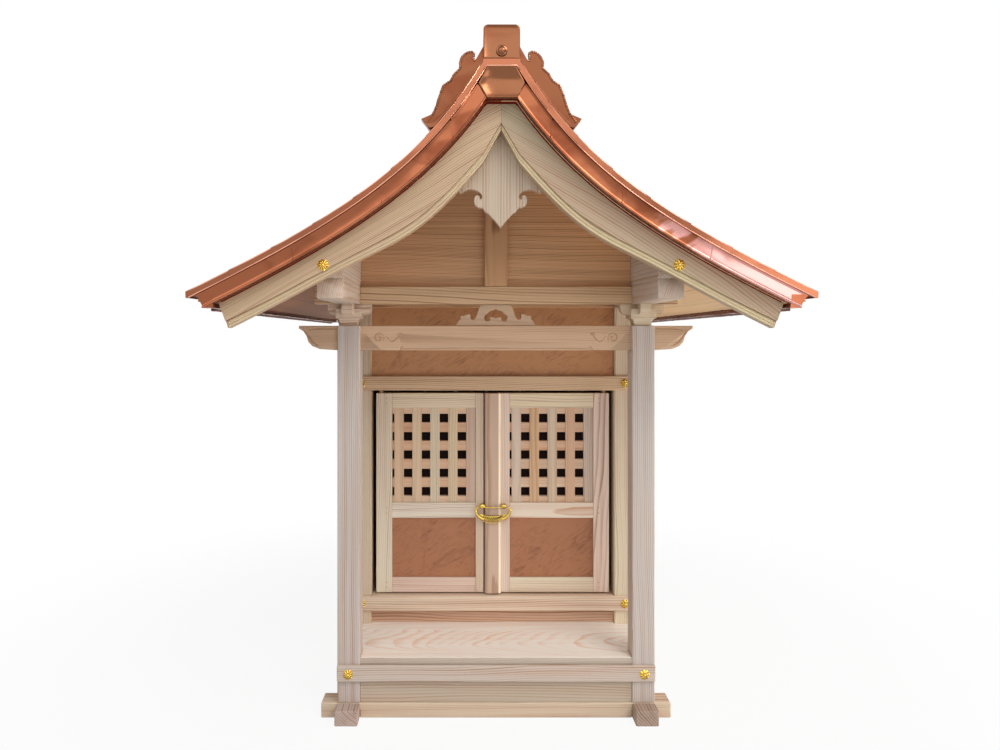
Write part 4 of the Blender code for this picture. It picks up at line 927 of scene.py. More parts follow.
def through(points, steps=6):
    """A smooth line through a few points."""
    points = [points[0], *points, points[-1]]
    smooth = []
    for a, b, c, d in zip(points, points[1:], points[2:], points[3:]):
        for step in range(steps):
            t = step / steps
            smooth.append(tuple(0.5 * (2 * q + (r - p) * t + (2 * p - 5 * q + 4 * r - s) * t * t
                                       + (3 * q - p - 3 * r + s) * t ** 3) for p, q, r, s in zip(a, b, c, d)))
    return smooth + [points[-1]]


def spiral(centre, outer, inner, start, turn, steps=30):
    """Points of a spiral, angles in degrees."""
    points = []
    for step in range(steps + 1):
        share = step / steps
        angle = math.radians(start + turn * share)
        radius = outer + (inner - outer) * share
        points.append((centre[0] + radius * math.cos(angle), centre[1] + radius * math.sin(angle)))
    return points


def square_to(points, index):
    """A unit step square to a flat line at one of its points."""
    (ax, az), (bx, bz) = points[max(index - 1, 0)], points[min(index + 1, len(points) - 1)]
    length = math.hypot(bx - ax, bz - az) or 1
    return -(bz - az) / length, (bx - ax) / length


def gouge(work, points, width, depth, face):
    """Adds a tapering tool along points in the face of a timber."""
    rings = []
    for index, (x, z) in enumerate(points):
        across = square_to(points, index)
        share = index / (len(points) - 1)
        swell = max(math.sin(math.pi * (0.06 + 0.88 * share)) ** 0.5, 0.3)
        half, deep = width * swell / 2, depth * swell
        rings.append([(x + across[0] * half * out, face + deep * down, z + across[1] * half * out)
                      for out, down in GOUGE])
    add_rings(work, rings)


FLOURISH = {
    "vine": ((177.6, 22.6), (173.0, 16.8), (167.3, 14.6), (161.0, 19.0), (156.0, 25.0), (153.2, 26.1),
             (154.6, 28.0), (159.0, 27.0), (160.0, 23.3)),
    "bead_start": ((156.0, -0.4), (155.2, 3.0), (153.0, 5.0), (149.5, 6.0)),
    "nose_top": ((256.5, 34.6), (270.0, 34.8), (290.0, 34.4), (303.0, 32.6)),
    "nose_end": ((311.5, 33.0), (306.5, 27.5), (300.5, 20.0), (296.0, 13.5), (288.0, 8.0)),
}
SLEEVE = ((219.5, 26.1), (212.0, 26.1), (206.6, 22.3), (202.0, 15.6), (195.4, 10.1), (190.0, 4.6),
          (181.0, -0.6))
SPIRAL_CENTRE = (190.0, 20.6)
BEAD_REACH, BEAD_UP = 149.0, 3.4


def on_beam(side, points):
    """Millimetres from the middle and above the beam's foot, turned into places in the scene."""
    return [(side * x * MM, BEAM[0].z + z * MM) for x, z in points]


def carved(name, tools, material):
    """A copy of a loaded piece with the tools cut away."""
    work = bmesh.new()
    work.from_mesh(nodes[name].data)
    bmesh.ops.remove_doubles(work, verts=work.verts, dist=1e-6)
    bmesh.ops.recalc_face_normals(tools, faces=tools.faces)
    block, tool = add_mesh(name + "_uncut", work), add_mesh(name + "_tool", tools)
    cut = block.modifiers.new("cut", "BOOLEAN")
    cut.operation = "DIFFERENCE"
    cut.solver = "EXACT"
    cut.use_self = True
    cut.object = tool
    graph = bpy.context.evaluated_depsgraph_get()
    result = bpy.data.meshes.new_from_object(block.evaluated_get(graph))
    bpy.data.objects.remove(block, do_unlink=True)
    bpy.data.objects.remove(tool, do_unlink=True)
    open_mesh = bmesh.new()
    open_mesh.from_mesh(result)
    print(name, "carved:", len(open_mesh.faces), "faces")
    return add_piece("carved_" + name, open_mesh, material, stands_for=(name,), smooth=30)


tools = bmesh.new()
for _, side in SIDES:
    for line in (*(through(line) for line in FLOURISH.values()), spiral(SPIRAL_CENTRE, 9.2, 1.6, 215, -520)):
        gouge(tools, on_beam(side, line), 0.0027, 0.0017, BEAM_FACE)
    hollow = on_beam(side, through(SLEEVE, 4) + [(219.5, -0.8)])
    add_outline(tools, hollow, "Y", BEAM_FACE - SLEEVE_DEPTH, BEAM_FACE + SLEEVE_DEPTH)
bead = on_beam(1, [(-BEAD_REACH + 2 * BEAD_REACH * k / 24, BEAD_UP) for k in range(25)])
gouge(tools, bead, 0.0020, 0.0014, BEAM_FACE)
beam_wood = timber_for("rainbow_beam", BEAM, "X", contrast=0.6, lean=0.01, blush_share=0.4,
                       cream=tone(221, 187, 154), blush=tone(210, 162, 126))
carved("rainbow_beam", tools, beam_wood)

# %% [markdown]
# ## The purlins' ends
#
# Each purlin carries a second, shallower timber on its back, and the joint shows as a fine dark
# line across its end and along its sides. Grooves as thin as a saw cut are enough to show it.

# %%
SEAM_Z = high("tie_beam", "Z")
CUT_DEPTH, CLEAR = 0.0009, 0.001
for label, _ in SIDES:
    name = "purlin_" + label
    corner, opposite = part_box(name)
    near, far = corner.y - CLEAR, opposite.y + CLEAR
    tools = bmesh.new()
    for left, right, end, half in ((corner.x - CLEAR, corner.x + CUT_DEPTH, far, 0.0002),
                                   (opposite.x - CUT_DEPTH, opposite.x + CLEAR, far, 0.0002),
                                   (corner.x - CLEAR, opposite.x + CLEAR, corner.y + CUT_DEPTH, 0.00025)):
        add_block(tools, (left, near, SEAM_Z - half), (right, end, SEAM_Z + half))
    carved(name, tools, timber_for(name, (corner, opposite), "Y", ring=0.0030, contrast=0.7, wobble=0.004,
                                   heart=(0.10, 0.06), cream=tone(200, 184, 168)))

# %% [markdown]
# ## Copper in courses
#
# A copper roof isn't one skin. Small sheets are hooked into each other in level courses, each
# course lapping over the one below, with the upright seams staggered like brickwork. At the verge
# every course is folded down over the edge, so the edge is stepped as well. Each sheet is given a
# slightly different tilt, because that is what breaks the reflections up on a real roof. A layer
# under the sheets, painted dark brown as painted shade, closes the hollow of the hems.

# %%
COURSES, SHEETS_ALONG = 8, 5
LAP, SHEET, SEAM_GAP = 0.0013, 0.0008, 0.0003
NARROWEST_SHEET = 0.05
LAST_EDGE = EAVE_X - 0.001
LEVEL_HALF = 0.0202


def slope_places(count):
    """Places across the roof that split the slope into equal lengths."""
    total = rafter_length(RIDGE_HALF, LAST_EDGE, 200)
    places, walked, x, step = [RIDGE_HALF], 0.0, RIDGE_HALF, (EAVE_X - RIDGE_HALF) / 2000
    while len(places) < count:
        walked += step * math.hypot(1, roof_slope(x))
        x += step
        if walked >= total * len(places) / count:
            places.append(x)
    return places + [LAST_EDGE]


def sheet_ring(x, side, near, far, top, hem):
    """Section of one sheet along the roof, with a hem folded down where it meets the verge."""
    drawn = [(near, top), (far, top), (far, top + SHEET), (near, top + SHEET)]
    if hem == "front":
        drawn = [(far, top), (near, top), (near, SHEET_DEPTH), (near + SHEET, SHEET_DEPTH),
                 (near + SHEET, top + SHEET), (far, top + SHEET)]
    if hem == "back":
        drawn = [(far, SHEET_DEPTH), (far, top), (near, top), (near, top + SHEET),
                 (far - SHEET, top + SHEET), (far - SHEET, SHEET_DEPTH)]
    return roof_ring(x, side, drawn)


def roof_ring(x, side, drawn):
    """A section given by places along the roof and depths below it."""
    return [(side * x, y, below_roof(x, depth)) for y, depth in drawn]


def copper_side(label, side):
    pick = random.Random(label)
    work = bmesh.new()
    edges = slope_places(COURSES)
    for course, (start, end) in enumerate(zip(edges, edges[1:])):
        stagger = 0.75 if course % 2 else 0.5
        seams = [-ROOF_Y + 2 * ROOF_Y * (k + stagger) / SHEETS_ALONG for k in range(SHEETS_ALONG)]
        seams = [-ROOF_Y] + [y for y in seams if y < ROOF_Y - NARROWEST_SHEET] + [ROOF_Y]
        for index, (near, far) in enumerate(zip(seams, seams[1:])):
            hem = "front" if index == 0 else "back" if index == len(seams) - 2 else None
            tilt = pick.uniform(-0.25, 0.25) * MM
            rings = []
            for share in (0.0, 0.25, 0.5, 0.75, 1.0):
                x = start + (end - start + 0.0006) * share
                proud = LAP * (1 - share) + 0.0001 + max(tilt * (share - 0.5), 0)
                tuck = 0.0008 * (1 - share)
                rings.append(sheet_ring(min(x, EAVE_X - 0.0004), side,
                                        near + (tuck if hem == "front" else SEAM_GAP),
                                        far - (tuck if hem == "back" else 0), proud, hem))
            add_rings(work, rings)
        for y in seams[1:-1]:
            rings = []
            for step in range(4):
                share = 0.02 + 0.96 * step / 3
                foot = LAP * (1 - share)
                rings.append(roof_ring(start + (end - start) * share, side,
                                       ((y - 0.0030, foot), (y - 0.0022, foot - SHEET),
                                        (y + 0.0022, foot - SHEET), (y + 0.0030, foot))))
            add_rings(work, rings)
    lip, flat = [], []
    for y in (-ROOF_Y, ROOF_Y):
        top, foot = below_roof(EAVE_X, 0.0001), below_roof(EAVE_X, SHEET_DEPTH)
        lip.append([(side * (EAVE_X - inset), y, z) for inset, z in
                    ((0.0030, top), (0.0006, top), (0, top - 0.0008), (0.0004, foot + 0.0008), (0.0012, foot),
                     (0.0040, foot))])
        flat.append([(0, y, RIDGE_HEIGHT), (side * RIDGE_HALF, y, RIDGE_HEIGHT),
                     (side * RIDGE_HALF, y, below_roof(RIDGE_HALF, SHEET_DEPTH * 0.95)),
                     (side * LEVEL_HALF, y, RIDGE_HEIGHT - SHEET_DEPTH), (0, y, RIDGE_HEIGHT - SHEET_DEPTH)])
    add_rings(work, lip)
    add_rings(work, flat)
    # A dark layer under the hems, painted dark brown: painted shade.
    tuck = bmesh.new()
    under = edges[:-1] + [EAVE_X - 0.003]
    places = sorted({a + (b - a) * k / 4 for a, b in zip(under, under[1:]) for k in range(5)})
    end_y, upper, lower = ROOF_Y - 0.0016, 0.0028, 0.0078
    section = ((-end_y, upper), (end_y, upper), (end_y, lower), (-end_y, lower))
    add_rings(tuck, [roof_ring(x, side, section) for x in places])
    add_piece("copper_tuck_" + label, tuck, copper_painted_shade)
    print("copper sheets,", label, "side:", len(work.faces), "faces")
    return add_piece("copper_courses_" + label, work, copper_sheet,
                     stands_for=("copper_roof_" + label,))


for label, side in SIDES:
    copper_side(label, side)

# %% [markdown]
# ## The fascia
#
# Below the sheets a wide copper band covers the edge of the roof boards. It is flat with a lip
# above and below, and comes in four lengths a side that lap over each other like the sheets. The
# lips and the folded laps catch the light, which is what makes it read as folded metal and not as
# a painted board. Under the ridge it runs level, and a six-sided plate covers the joint.

# %%
LEVEL_DEPTH = RIDGE_HEIGHT - high("bargeboard_front_right", "Z") - 0.0003
FASCIA_Y = high("roof_edge_right", "Y")
FASCIA_END = high("roof_edge_right", "X")
FASCIA = ((-0.0118, 0.0081), (0.0022, 0.0081), (0.0026, 0.0088), (0.0022, 0.0094), (0.0008, 0.0097),
          (0.0000, 0.0104), (-0.0002, 0.0125), (-0.0003, 0.0160), (-0.0003, 0.0200), (-0.0001, 0.0240),
          (0.0001, 0.0268), (0.0005, 0.0273), (0.0012, 0.0277), (0.0014, 0.0288), (0.0008, 0.0294),
          (-0.0118, 0.0294))
LAP_PLACES = (0.0, 0.066, 0.162, 0.283, FASCIA_END - 0.001)
FOLD, FOLD_PROUD, MOST_PROUD = 0.0016, 0.0011, 0.0035
END_SLANT = 0.010


def layer_z(x, depth):
    """Depth under the roof, level under the ridge."""
    out = abs(x) - RIDGE_HALF
    straight = (SLOPE_AT_EAVE + SLOPE_ADDED) * min(out, 0)
    sloped = roof_line(x) - straight - depth * math.hypot(1, roof_slope(x))
    share = (depth - SHEET_DEPTH) / (ROOF_THICKNESS - SHEET_DEPTH)
    return min(sloped, RIDGE_HEIGHT - SHEET_DEPTH - share * (LEVEL_DEPTH - SHEET_DEPTH))


def fascia(row, way):
    work = bmesh.new()
    count = 14
    for side in (-1, 1):
        for index, (start, end) in enumerate(zip(LAP_PLACES, LAP_PLACES[1:])):
            folded = [(start, FOLD_PROUD), (start + FOLD, FOLD_PROUD), (start + FOLD + 0.0001, 0.0002)]
            flat_start = start + FOLD * 2
            length = end - flat_start + (0.0006 if index < 3 else 0)
            places = folded if index else [(start, 0)]
            places += [(flat_start + length * k / count, 0) for k in range(1 if index else 0, count + 1)]
            rings = []
            for x, thicker in places:
                ring = []
                for out, depth in FASCIA:
                    slanted = x - END_SLANT * (x / FASCIA_END) ** 3 * (depth - 0.008) / 0.0215
                    placed = max(slanted, 0.0)
                    proud = min(out + (thicker if out > -0.01 else 0), MOST_PROUD)
                    ring.append((side * placed, way * (FASCIA_Y + proud), layer_z(placed, depth)))
                rings.append(ring)
            add_rings(work, rings)
    return add_piece("fascia_" + row, work, copper_fascia, smooth=45,
                     stands_for=("roof_edge_left", "roof_edge_right") if way < 0 else ())


for row, way in ENDS:
    fascia(row, way)

# %% [markdown]
# Thin strips finish the edge. Two rolled beads, painted pale and bright as painted highlights, run
# along the top and the foot of the verge. Under the fascia its folded edge is seen in its own
# shade, as a dark red line above the wood.

# %%
# The beads' pale copper is a painted highlight.
BEAD_RADIUS = 0.0010
HIGH_BEAD, LOW_BEAD = 0.0011, SHEET_DEPTH + 0.0006
for row, way in ENDS:
    bead, fold = bmesh.new(), bmesh.new()
    middle = way * (ROOF_Y - BEAD_RADIUS)
    for side in (-1, 1):
        shares = [step / 80 for step in range(81)]
        places = [RIDGE_HALF + (EAVE_X - 0.002 - RIDGE_HALF) * share for share in shares]
        level = [circle((middle, RIDGE_HEIGHT - LOW_BEAD), BEAD_RADIUS, side * x, 8, "X")
                 for x in (0.0, LEVEL_HALF)]
        for depth, started in ((HIGH_BEAD, []), (LOW_BEAD, level)):
            add_rings(bead, started + [circle((middle, below_roof(x, depth)), BEAD_RADIUS, side * x, 8, "X")
                                       for x in places])
        add_rings(fold, [[(side * (BARGE_END - 0.004) * share, BARGE_FACES[row] + way * out,
                           layer_z((BARGE_END - 0.004) * share, depth)) for out, depth in
                          ((-0.0004, 0.0293), (0.0008, 0.0293), (0.0008, 0.0309), (-0.0004, 0.0312))]
                         for share in shares])
    add_piece("verge_bead_" + row, bead, copper_highlight, smooth=60)
    add_piece("fascia_fold_" + row, fold, copper_shaded)

# %% [markdown]
# Along the eaves the same band leans inwards and is folded in two steps, one under the other. It
# was dressed by hand over the ends of the boards and is a little crumpled, so it gets a livelier
# copper of its own. It is turned back under the boards in two folds, painted dark brown as painted
# shade, seen from below.

# %%
EAVE_RETURN = ((0.0092, -0.0004), (0.0092, 0.0022), (0.0152, 0.0026), (0.0160, 0.0013), (0.0240, 0.0013),
               (0.0246, -0.0004))
EAVE_STEPS = 90
copper_eave = sheet_copper("eave_copper", seed=9, waves=0.0060, haze_and_reflection=0.8)
top, foot = below_roof(FASCIA_END, 0.0086), below_roof(FASCIA_END - 0.010, 0.0294)
EAVE_SECTION = ((-0.022, top), (-0.0006, top), (0.0010, top - 0.0014), (-0.0010, top - 0.0026),
                (-0.0050, foot + 0.0112), (-0.0034, foot + 0.0100), (-0.0036, foot + 0.0086),
                (-0.0066, foot + 0.0078), (-0.0094, foot + 0.0022), (-0.0078, foot + 0.0012),
                (-0.0088, foot), (-0.024, foot + 0.0002))
for label, side in SIDES:
    pick = random.Random(label + "eave")
    work = bmesh.new()
    rings = []
    for step in range(EAVE_STEPS + 1):
        y = -FASCIA_Y + 2 * FASCIA_Y * step / EAVE_STEPS
        ruffle = 0.0 if step in (0, EAVE_STEPS) else pick.uniform(-1, 1) * 0.00035
        rings.append([(side * (FASCIA_END + out + ruffle * (1 if 1 < k < 11 else 0)), y, z + ruffle * 0.5)
                      for k, (out, z) in enumerate(EAVE_SECTION)])
    add_rings(work, rings)
    add_piece("eave_fascia_" + label, work, copper_eave, smooth=50)
    # The folds under the boards are painted dark brown: painted shade.
    work = bmesh.new()
    rings = []
    inner = low("bargeboard_back_right", "Y")
    for step in range(EAVE_STEPS + 1):
        y = -inner + 2 * inner * step / EAVE_STEPS
        ruffle = pick.uniform(-1, 1) * 0.0004
        rings.append([(side * (FASCIA_END - inset + ruffle), y,
                       below_roof(FASCIA_END - inset, ROOF_THICKNESS + drop) + ruffle * 0.6)
                      for inset, drop in EAVE_RETURN])
    add_rings(work, rings)
    add_piece("eave_return_" + label, work, copper_painted_shade, smooth=30)

# %% [markdown]
# ## The peak plate, the ridge box and its stud
#
# The plate has its edges folded back, so it stands a millimetre proud of the fascia. The box over
# the ridge is closed by a cap with a rolled rim, fixed by one domed stud. Both are made of rings.

# %%
def plate(name, outline, face, proud, rim, way):
    """A flat plate with a rounded rim: the outline is drawn in as it comes forward."""
    middle = (sum(x for x, z in outline) / len(outline), sum(z for x, z in outline) / len(outline))
    rings = []
    for inset, out in ((0.0, 0.0), (0.0, 0.45), (0.25, 0.85), (0.6, 1.0), (1.4, 1.0), (1.9, 0.78)):
        ring = []
        for x, z in outline:
            factor = 1 - rim * inset / math.hypot(x - middle[0], z - middle[1])
            ring.append((middle[0] + (x - middle[0]) * factor, way * (face + proud * out),
                         middle[1] + (z - middle[1]) * factor))
        rings.append(ring)
    work = bmesh.new()
    add_rings(work, rings)
    return add_piece(name, work, copper_ridge, smooth=60)


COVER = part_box("ridge_cover")
CAP_Y, CAP_CORNER, CAP_FOOT = ROOF_Y - 0.0050, 0.006, COVER[0].z + 0.0012
CAP_HALF, CAP_TOP = COVER[1].x - 0.0002, COVER[1].z - 0.0002
cap = [(-CAP_HALF, CAP_FOOT), (CAP_HALF, CAP_FOOT)]
for side, first in ((1, 0), (-1, 90)):
    for degrees in range(first, first + 91, 15):
        angle = math.radians(degrees)
        cap.append((side * (CAP_HALF - CAP_CORNER) + CAP_CORNER * math.cos(angle),
                    CAP_TOP - CAP_CORNER + CAP_CORNER * math.sin(angle)))
PEAK_TOP = RIDGE_HEIGHT - SHEET_DEPTH - 0.0006
PEAK_FOOT = RIDGE_HEIGHT - LEVEL_DEPTH - 0.0004
PEAK = ((-0.0188, PEAK_TOP), (0.0188, PEAK_TOP), (0.0315, PEAK_TOP - 0.0235), (0.0205, PEAK_FOOT),
        (-0.0205, PEAK_FOOT), (-0.0315, PEAK_TOP - 0.0235))
RIDGE_STUD = ((0.0072, 0.0002), (0.0074, 0.0009), (0.0066, 0.0014), (0.0052, 0.0018), (0.0049, 0.0014),
              (0.0038, 0.0023), (0.0020, 0.0029), (0.0005, 0.0030))
STUD_HEIGHT = 0.9955
for row, way in ENDS:
    plate(f"peak_plate_{row}", PEAK, FASCIA_Y + 0.0012, 0.0022, 0.0013, way)
    plate(f"ridge_cap_{row}", cap, CAP_Y, 0.0016, 0.0016, way)
    work = bmesh.new()
    add_rings(work, [circle((0, STUD_HEIGHT), radius, way * (ROOF_Y - 0.0034 + out), 32)
                     for radius, out in RIDGE_STUD])
    add_piece(f"ridge_stud_{row}", work, copper_ridge, smooth=60)

work = bmesh.new()
box_outline = [(x * 0.985, z - 0.0004 if z > CAP_FOOT else RIDGE_HEIGHT - 0.0006) for x, z in cap]
add_outline(work, box_outline, "Y", -CAP_Y, CAP_Y)
add_piece("ridge_box", work, copper_ridge, stands_for=("ridge_cover",))
work = bmesh.new()
for y in (-0.33, -0.165, 0.0, 0.165, 0.33):
    add_block(work, (-COVER[1].x, y - 0.006, COVER[0].z), (COVER[1].x, y + 0.006, COVER[1].z), 0.0003)
add_piece("ridge_joint_bands", work, copper_ridge)

# %% [markdown]
# ## Winged ridge boards
#
# The boards that stand across the ridge are wrapped in copper. The wrapping is dressed over the
# sawn edge with a small hammer, which leaves a row of crimps all along it. A tube follows the
# outline and its thickness and its place are shaken from crimp to crimp. A boat-shaped foot with a
# turned-up end closes the bottom.

# %%
def outline_of(name):
    """The front outline of a board, walked round in order."""
    mesh = nodes[name].data
    front = min(v.co.y for v in mesh.vertices)
    work = bmesh.new()
    work.from_mesh(mesh)
    bmesh.ops.remove_doubles(work, verts=work.verts, dist=1e-6)
    flat = [f for f in work.faces if all(abs(v.co.y - front) < 1e-5 for v in f.verts)]
    counts = {}
    for face in flat:
        for edge in face.edges:
            counts[edge] = counts.get(edge, 0) + 1
    links = {}
    for edge in (edge for edge, used in counts.items() if used == 1):
        first, second = edge.verts
        links.setdefault(first, []).append(second)
        links.setdefault(second, []).append(first)
    start = min(links, key=lambda v: (round(abs(v.co.x), 3), v.co.z))
    walk, before = [start], None
    while True:
        options = [v for v in links[walk[-1]] if v is not before]
        before = walk[-1]
        if options[0] is start or len(walk) > len(links):
            break
        walk.append(options[0])
    points = [(v.co.x, v.co.z) for v in walk]
    work.free()
    return points


CRIMP = 0.0011


def hem_tube(name, points, face, way, radius):
    """A crimped tube along an open line in the face of a board."""
    pick = random.Random(len(points))
    dense = []
    for (ax, az), (bx, bz) in zip(points, points[1:]):
        pieces = max(1, round(math.hypot(bx - ax, bz - az) / CRIMP))
        dense += [(ax + (bx - ax) * k / pieces, az + (bz - az) * k / pieces) for k in range(pieces)]
    dense.append(points[-1])
    smooth = []
    for index in range(len(dense)):
        near = dense[max(index - 1, 0):index + 2]
        smooth.append((sum(p[0] for p in near) / len(near), sum(p[1] for p in near) / len(near)))
    rings = []
    for index, (x, z) in enumerate(smooth):
        across = square_to(smooth, index)
        crimp = 0.72 + 0.28 * abs(math.sin(index * 1.15)) + pick.uniform(-0.12, 0.12)
        shake = pick.uniform(-0.0003, 0.0003)
        ring = []
        for k in range(7):
            angle = 2 * math.pi * k / 7 + index * 0.35
            out = radius * crimp * math.cos(angle) + shake
            forward = radius * 0.8 * crimp * math.sin(angle)
            ring.append((x + across[0] * out, face + way * forward, z + across[1] * out))
        rings.append(ring)
    work = bmesh.new()
    add_rings(work, rings)
    return add_piece(name, work, copper_ridge, smooth=35)


TIP = roof_line(0.0923)
BOAT = [(x, roof_line(x) + 0.0010) for x in (0.045, 0.070, 0.090)]
BOAT += [(x, TIP + up) for x, up in ((0.0960, 0.0016), (0.1010, 0.0048), (0.1045, 0.0088), (0.1070, 0.0134),
                                     (0.1015, 0.0096), (0.0965, 0.0090), (0.0920, 0.0104), (0.0880, 0.0136))]
BOAT += [(x, roof_line(x) + up) for x, up in ((0.080, 0.0072), (0.070, 0.0066), (0.045, 0.0060))]
HEM_END = 0.1065
wing_points = outline_of("ridge_board_front")
for row, way in ENDS:
    name = "ridge_board_" + row
    dress(name, copper_wing)
    face = low(name, "Y") if way < 0 else high(name, "Y")
    for label, side in SIDES:
        edge = [(x, z) for x, z in wing_points
                if RIDGE_HALF + 0.002 < side * x < HEM_END and z > roof_line(x) + 0.004]
        hem_tube(f"{name}_hem_{label}", edge, face - way * 0.0006, way, 0.0021)
        work = bmesh.new()
        add_outline(work, [(side * x, z) for x, z in BOAT], "Y", face - way * 0.0010, face + way * 0.0042)
        round_off(add_piece(f"{name}_foot_{label}", work, copper_ridge, smooth=40), 0.0009)
print("ridge boards hemmed,", len(wing_points), "outline points")

# %% [markdown]
# ## Gilt flower studs
#
# Round studs hide the nail heads where rails cross posts. Each is a domed chrysanthemum on a thin
# plate, pressed from brass sheet. The dome is a disc of rings whose height is a slow bulge plus a
# ripple with one wave a petal; the ripple fades out towards the middle, where a small round button
# sits. The radius ripples too, so the rim is scalloped.

# %%
STUD_RADIUS, STUD_SEAT, STUD_OUT = 0.0082, 0.0001, 0.2425
STUD_PLATE = 0.0008
STUD_SHAPE = ((1.00, 0.0), (1.00, 0.0007), (0.95, 0.0012), (0.86, 0.0016), (0.72, 0.0024), (0.56, 0.0029),
              (0.42, 0.0030), (0.33, 0.0027), (0.30, 0.0024), (0.28, 0.0034), (0.20, 0.0042), (0.09, 0.0046))


def stud(name, x, y, z, petals, turn):
    """A domed flower that looks forward."""
    around = petals * 8
    rings = []
    for share, out in STUD_SHAPE:
        petal = max(0.0, min((share - 0.30) / 0.3, 1.0))
        ring = []
        for k in range(around):
            angle = 2 * math.pi * k / around
            hollow = 1 - abs(math.cos(petals * angle / 2))
            edge = STUD_RADIUS * share * (1 - 0.15 * hollow * petal)
            lift = out - 0.0017 * hollow ** 1.3 * petal * (out > STUD_PLATE)
            ring.append((x + edge * math.cos(angle + turn), y - max(lift, 0),
                         z + edge * math.sin(angle + turn)))
        rings.append(ring)
    work = bmesh.new()
    add_rings(work, rings)
    return add_piece(name, work, brass, smooth=38)


def stud_pair(name, x, y, z):
    for (label, side), petals in zip(SIDES, (10, 8)):
        stud(f"{name}_{label}", side * x, y + STUD_SEAT, z, petals, 0.13 * side)


def middle_height(name):
    return (low(name, "Z") + high(name, "Z")) / 2


stud_pair("floor_stud", POST_X, low("front_floor_rail", "Y"), low("front_floor_rail", "Z") + 0.012)
stud_pair("low_rail_stud", POST_X, low("door_sill_rail", "Y"), middle_height("door_sill_rail"))
stud_pair("high_rail_stud", POST_X, low("door_head_rail", "Y"), middle_height("door_head_rail"))
stud_pair("bargeboard_stud", STUD_OUT, BARGE_Y, barge_foot(STUD_OUT) + barge_depth(STUD_OUT) * 0.48)
print("studs at", [round(v * 1000) for v in (POST_X, STUD_OUT)], "mm from the middle")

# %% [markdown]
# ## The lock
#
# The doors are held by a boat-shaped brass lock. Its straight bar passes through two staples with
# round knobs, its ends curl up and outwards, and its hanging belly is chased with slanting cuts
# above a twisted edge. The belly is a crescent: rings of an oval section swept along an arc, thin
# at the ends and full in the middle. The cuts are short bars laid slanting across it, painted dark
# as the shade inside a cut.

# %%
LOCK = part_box("door_lock")
LOCK_BODY = "right_door"
LOCK_HALF = 0.0197
LOCK_TOP = 0.3050
LOCK_FRONT = LOCK[0].y + 0.0030
HORN = ((16.0, -21.0), (22.5, -18.5), (27.8, -13.5), (30.6, -8.0), (31.0, -3.6), (29.0, -0.4), (25.6, 0.6))
KNOB = ((0.0026, 0.0066), (0.0046, 0.0060), (0.0053, 0.0046), (0.0050, 0.0028), (0.0038, 0.0012),
        (0.0018, 0.0003), (0.0004, 0.0001))
BELLY_STEPS = 72


def tube(work, points, radii, around=10, flat=1.0):
    """A round or flattened bar through points, with one radius for each."""
    rings = []
    for index, point in enumerate(points):
        before = Vector(points[max(index - 1, 0)])
        after = Vector(points[min(index + 1, len(points) - 1)])
        along = (after - before).normalized()
        side = along.cross(Vector((0, 1, 0)))
        side = side.normalized() if side.length > 0.1 else Vector((1, 0, 0))
        forward = side.cross(along)
        rings.append([Vector(point) + side * radii[index] * math.cos(2 * math.pi * k / around)
                      + forward * radii[index] * flat * math.sin(2 * math.pi * k / around)
                      for k in range(around)])
    add_rings(work, rings)


def arc(steps, start, width, drop, depth, y):
    """A hanging arc, and how far along it each point lies."""
    shares = [step / steps for step in range(steps + 1)]
    turns = [math.pi * (start + (1 - 2 * start) * share) for share in shares]
    return shares, [(-width * math.cos(turn), y, LOCK_TOP - drop - depth * math.sin(turn)) for turn in turns]


work = bmesh.new()
tube(work, [(-LOCK_HALF + 2 * LOCK_HALF * k / 12, LOCK_FRONT, LOCK_TOP) for k in range(13)], [0.0012] * 13)
for side in (-1, 1):
    horn = [(side * reach * MM, LOCK_FRONT, LOCK_TOP + rise * MM) for reach, rise in through(HORN, 4)]
    tube(work, horn, [0.0032 - 0.0017 * k / (len(horn) - 1) for k in range(len(horn))])
shares, belly = arc(BELLY_STEPS, 0.10, 0.0235, 0.0085, 0.0115, LOCK_FRONT)
tube(work, belly, [0.0013 + 0.0040 * math.sin(math.pi * share) ** 0.7 for share in shares], 14, 0.42)
shares, rope = arc(BELLY_STEPS * 2, 0.06, 0.0248, 0.0110, 0.0168, LOCK_FRONT - 0.0004)
tube(work, rope, [(0.00095 + 0.0003 * math.sin(step * 1.05)) * (0.5 + 0.5 * math.sin(math.pi * share) ** 0.5)
                  for step, share in enumerate(shares)], 8)
# The cuts are raised bars painted nearly black: painted shade of a cut.
cuts = bmesh.new()
for cut in range(-5, 6):
    x, middle = cut * 0.0032, LOCK_TOP - 0.0085 - 0.0115 * math.cos(cut * 0.19)
    tall = 0.0038 * math.cos(cut * 0.2)
    tube(cuts, [(x + lean * 0.0018, LOCK_FRONT - out, middle + lean * tall)
                for lean, out in ((-1, 0.0016), (0, 0.0021), (1, 0.0016))], [0.00060, 0.00100, 0.00060], 6)
add_piece("lock_cuts", cuts, dark_brass, LOCK_BODY, smooth=40)
for side in (-1, 1):
    back = LOCK[1].y if side > 0 else DOOR_Y - 0.0013
    centre = side * (LOCK_HALF - 0.0003), LOCK_TOP + 0.0024
    add_rings(work, [circle(centre, radius, y, 24) for radius, y in
                     ((KNOB[0][0], back), *((radius, LOCK[0].y + out) for radius, out in KNOB))])
add_piece("lock", work, brass, LOCK_BODY, stands_for=("door_lock",), smooth=40)
print("lock rides on", LOCK_BODY)

# %% [markdown]
# ## Nail marks
#
# Small nails pin the tenons of the doors and the ends of the rails. From a metre away they are dots
# a shade darker than the wood: short pegs with a domed end that stand a hair proud will do.

# %%
NAIL = wood("nail_wood", grain="Y", cream=tone(176, 132, 98), late=tone(120, 80, 54), seed=15)
PEG = ((1.0, -0.0012), (1.0, 0.00002), (0.75, 0.00012), (0.2, 0.00016))


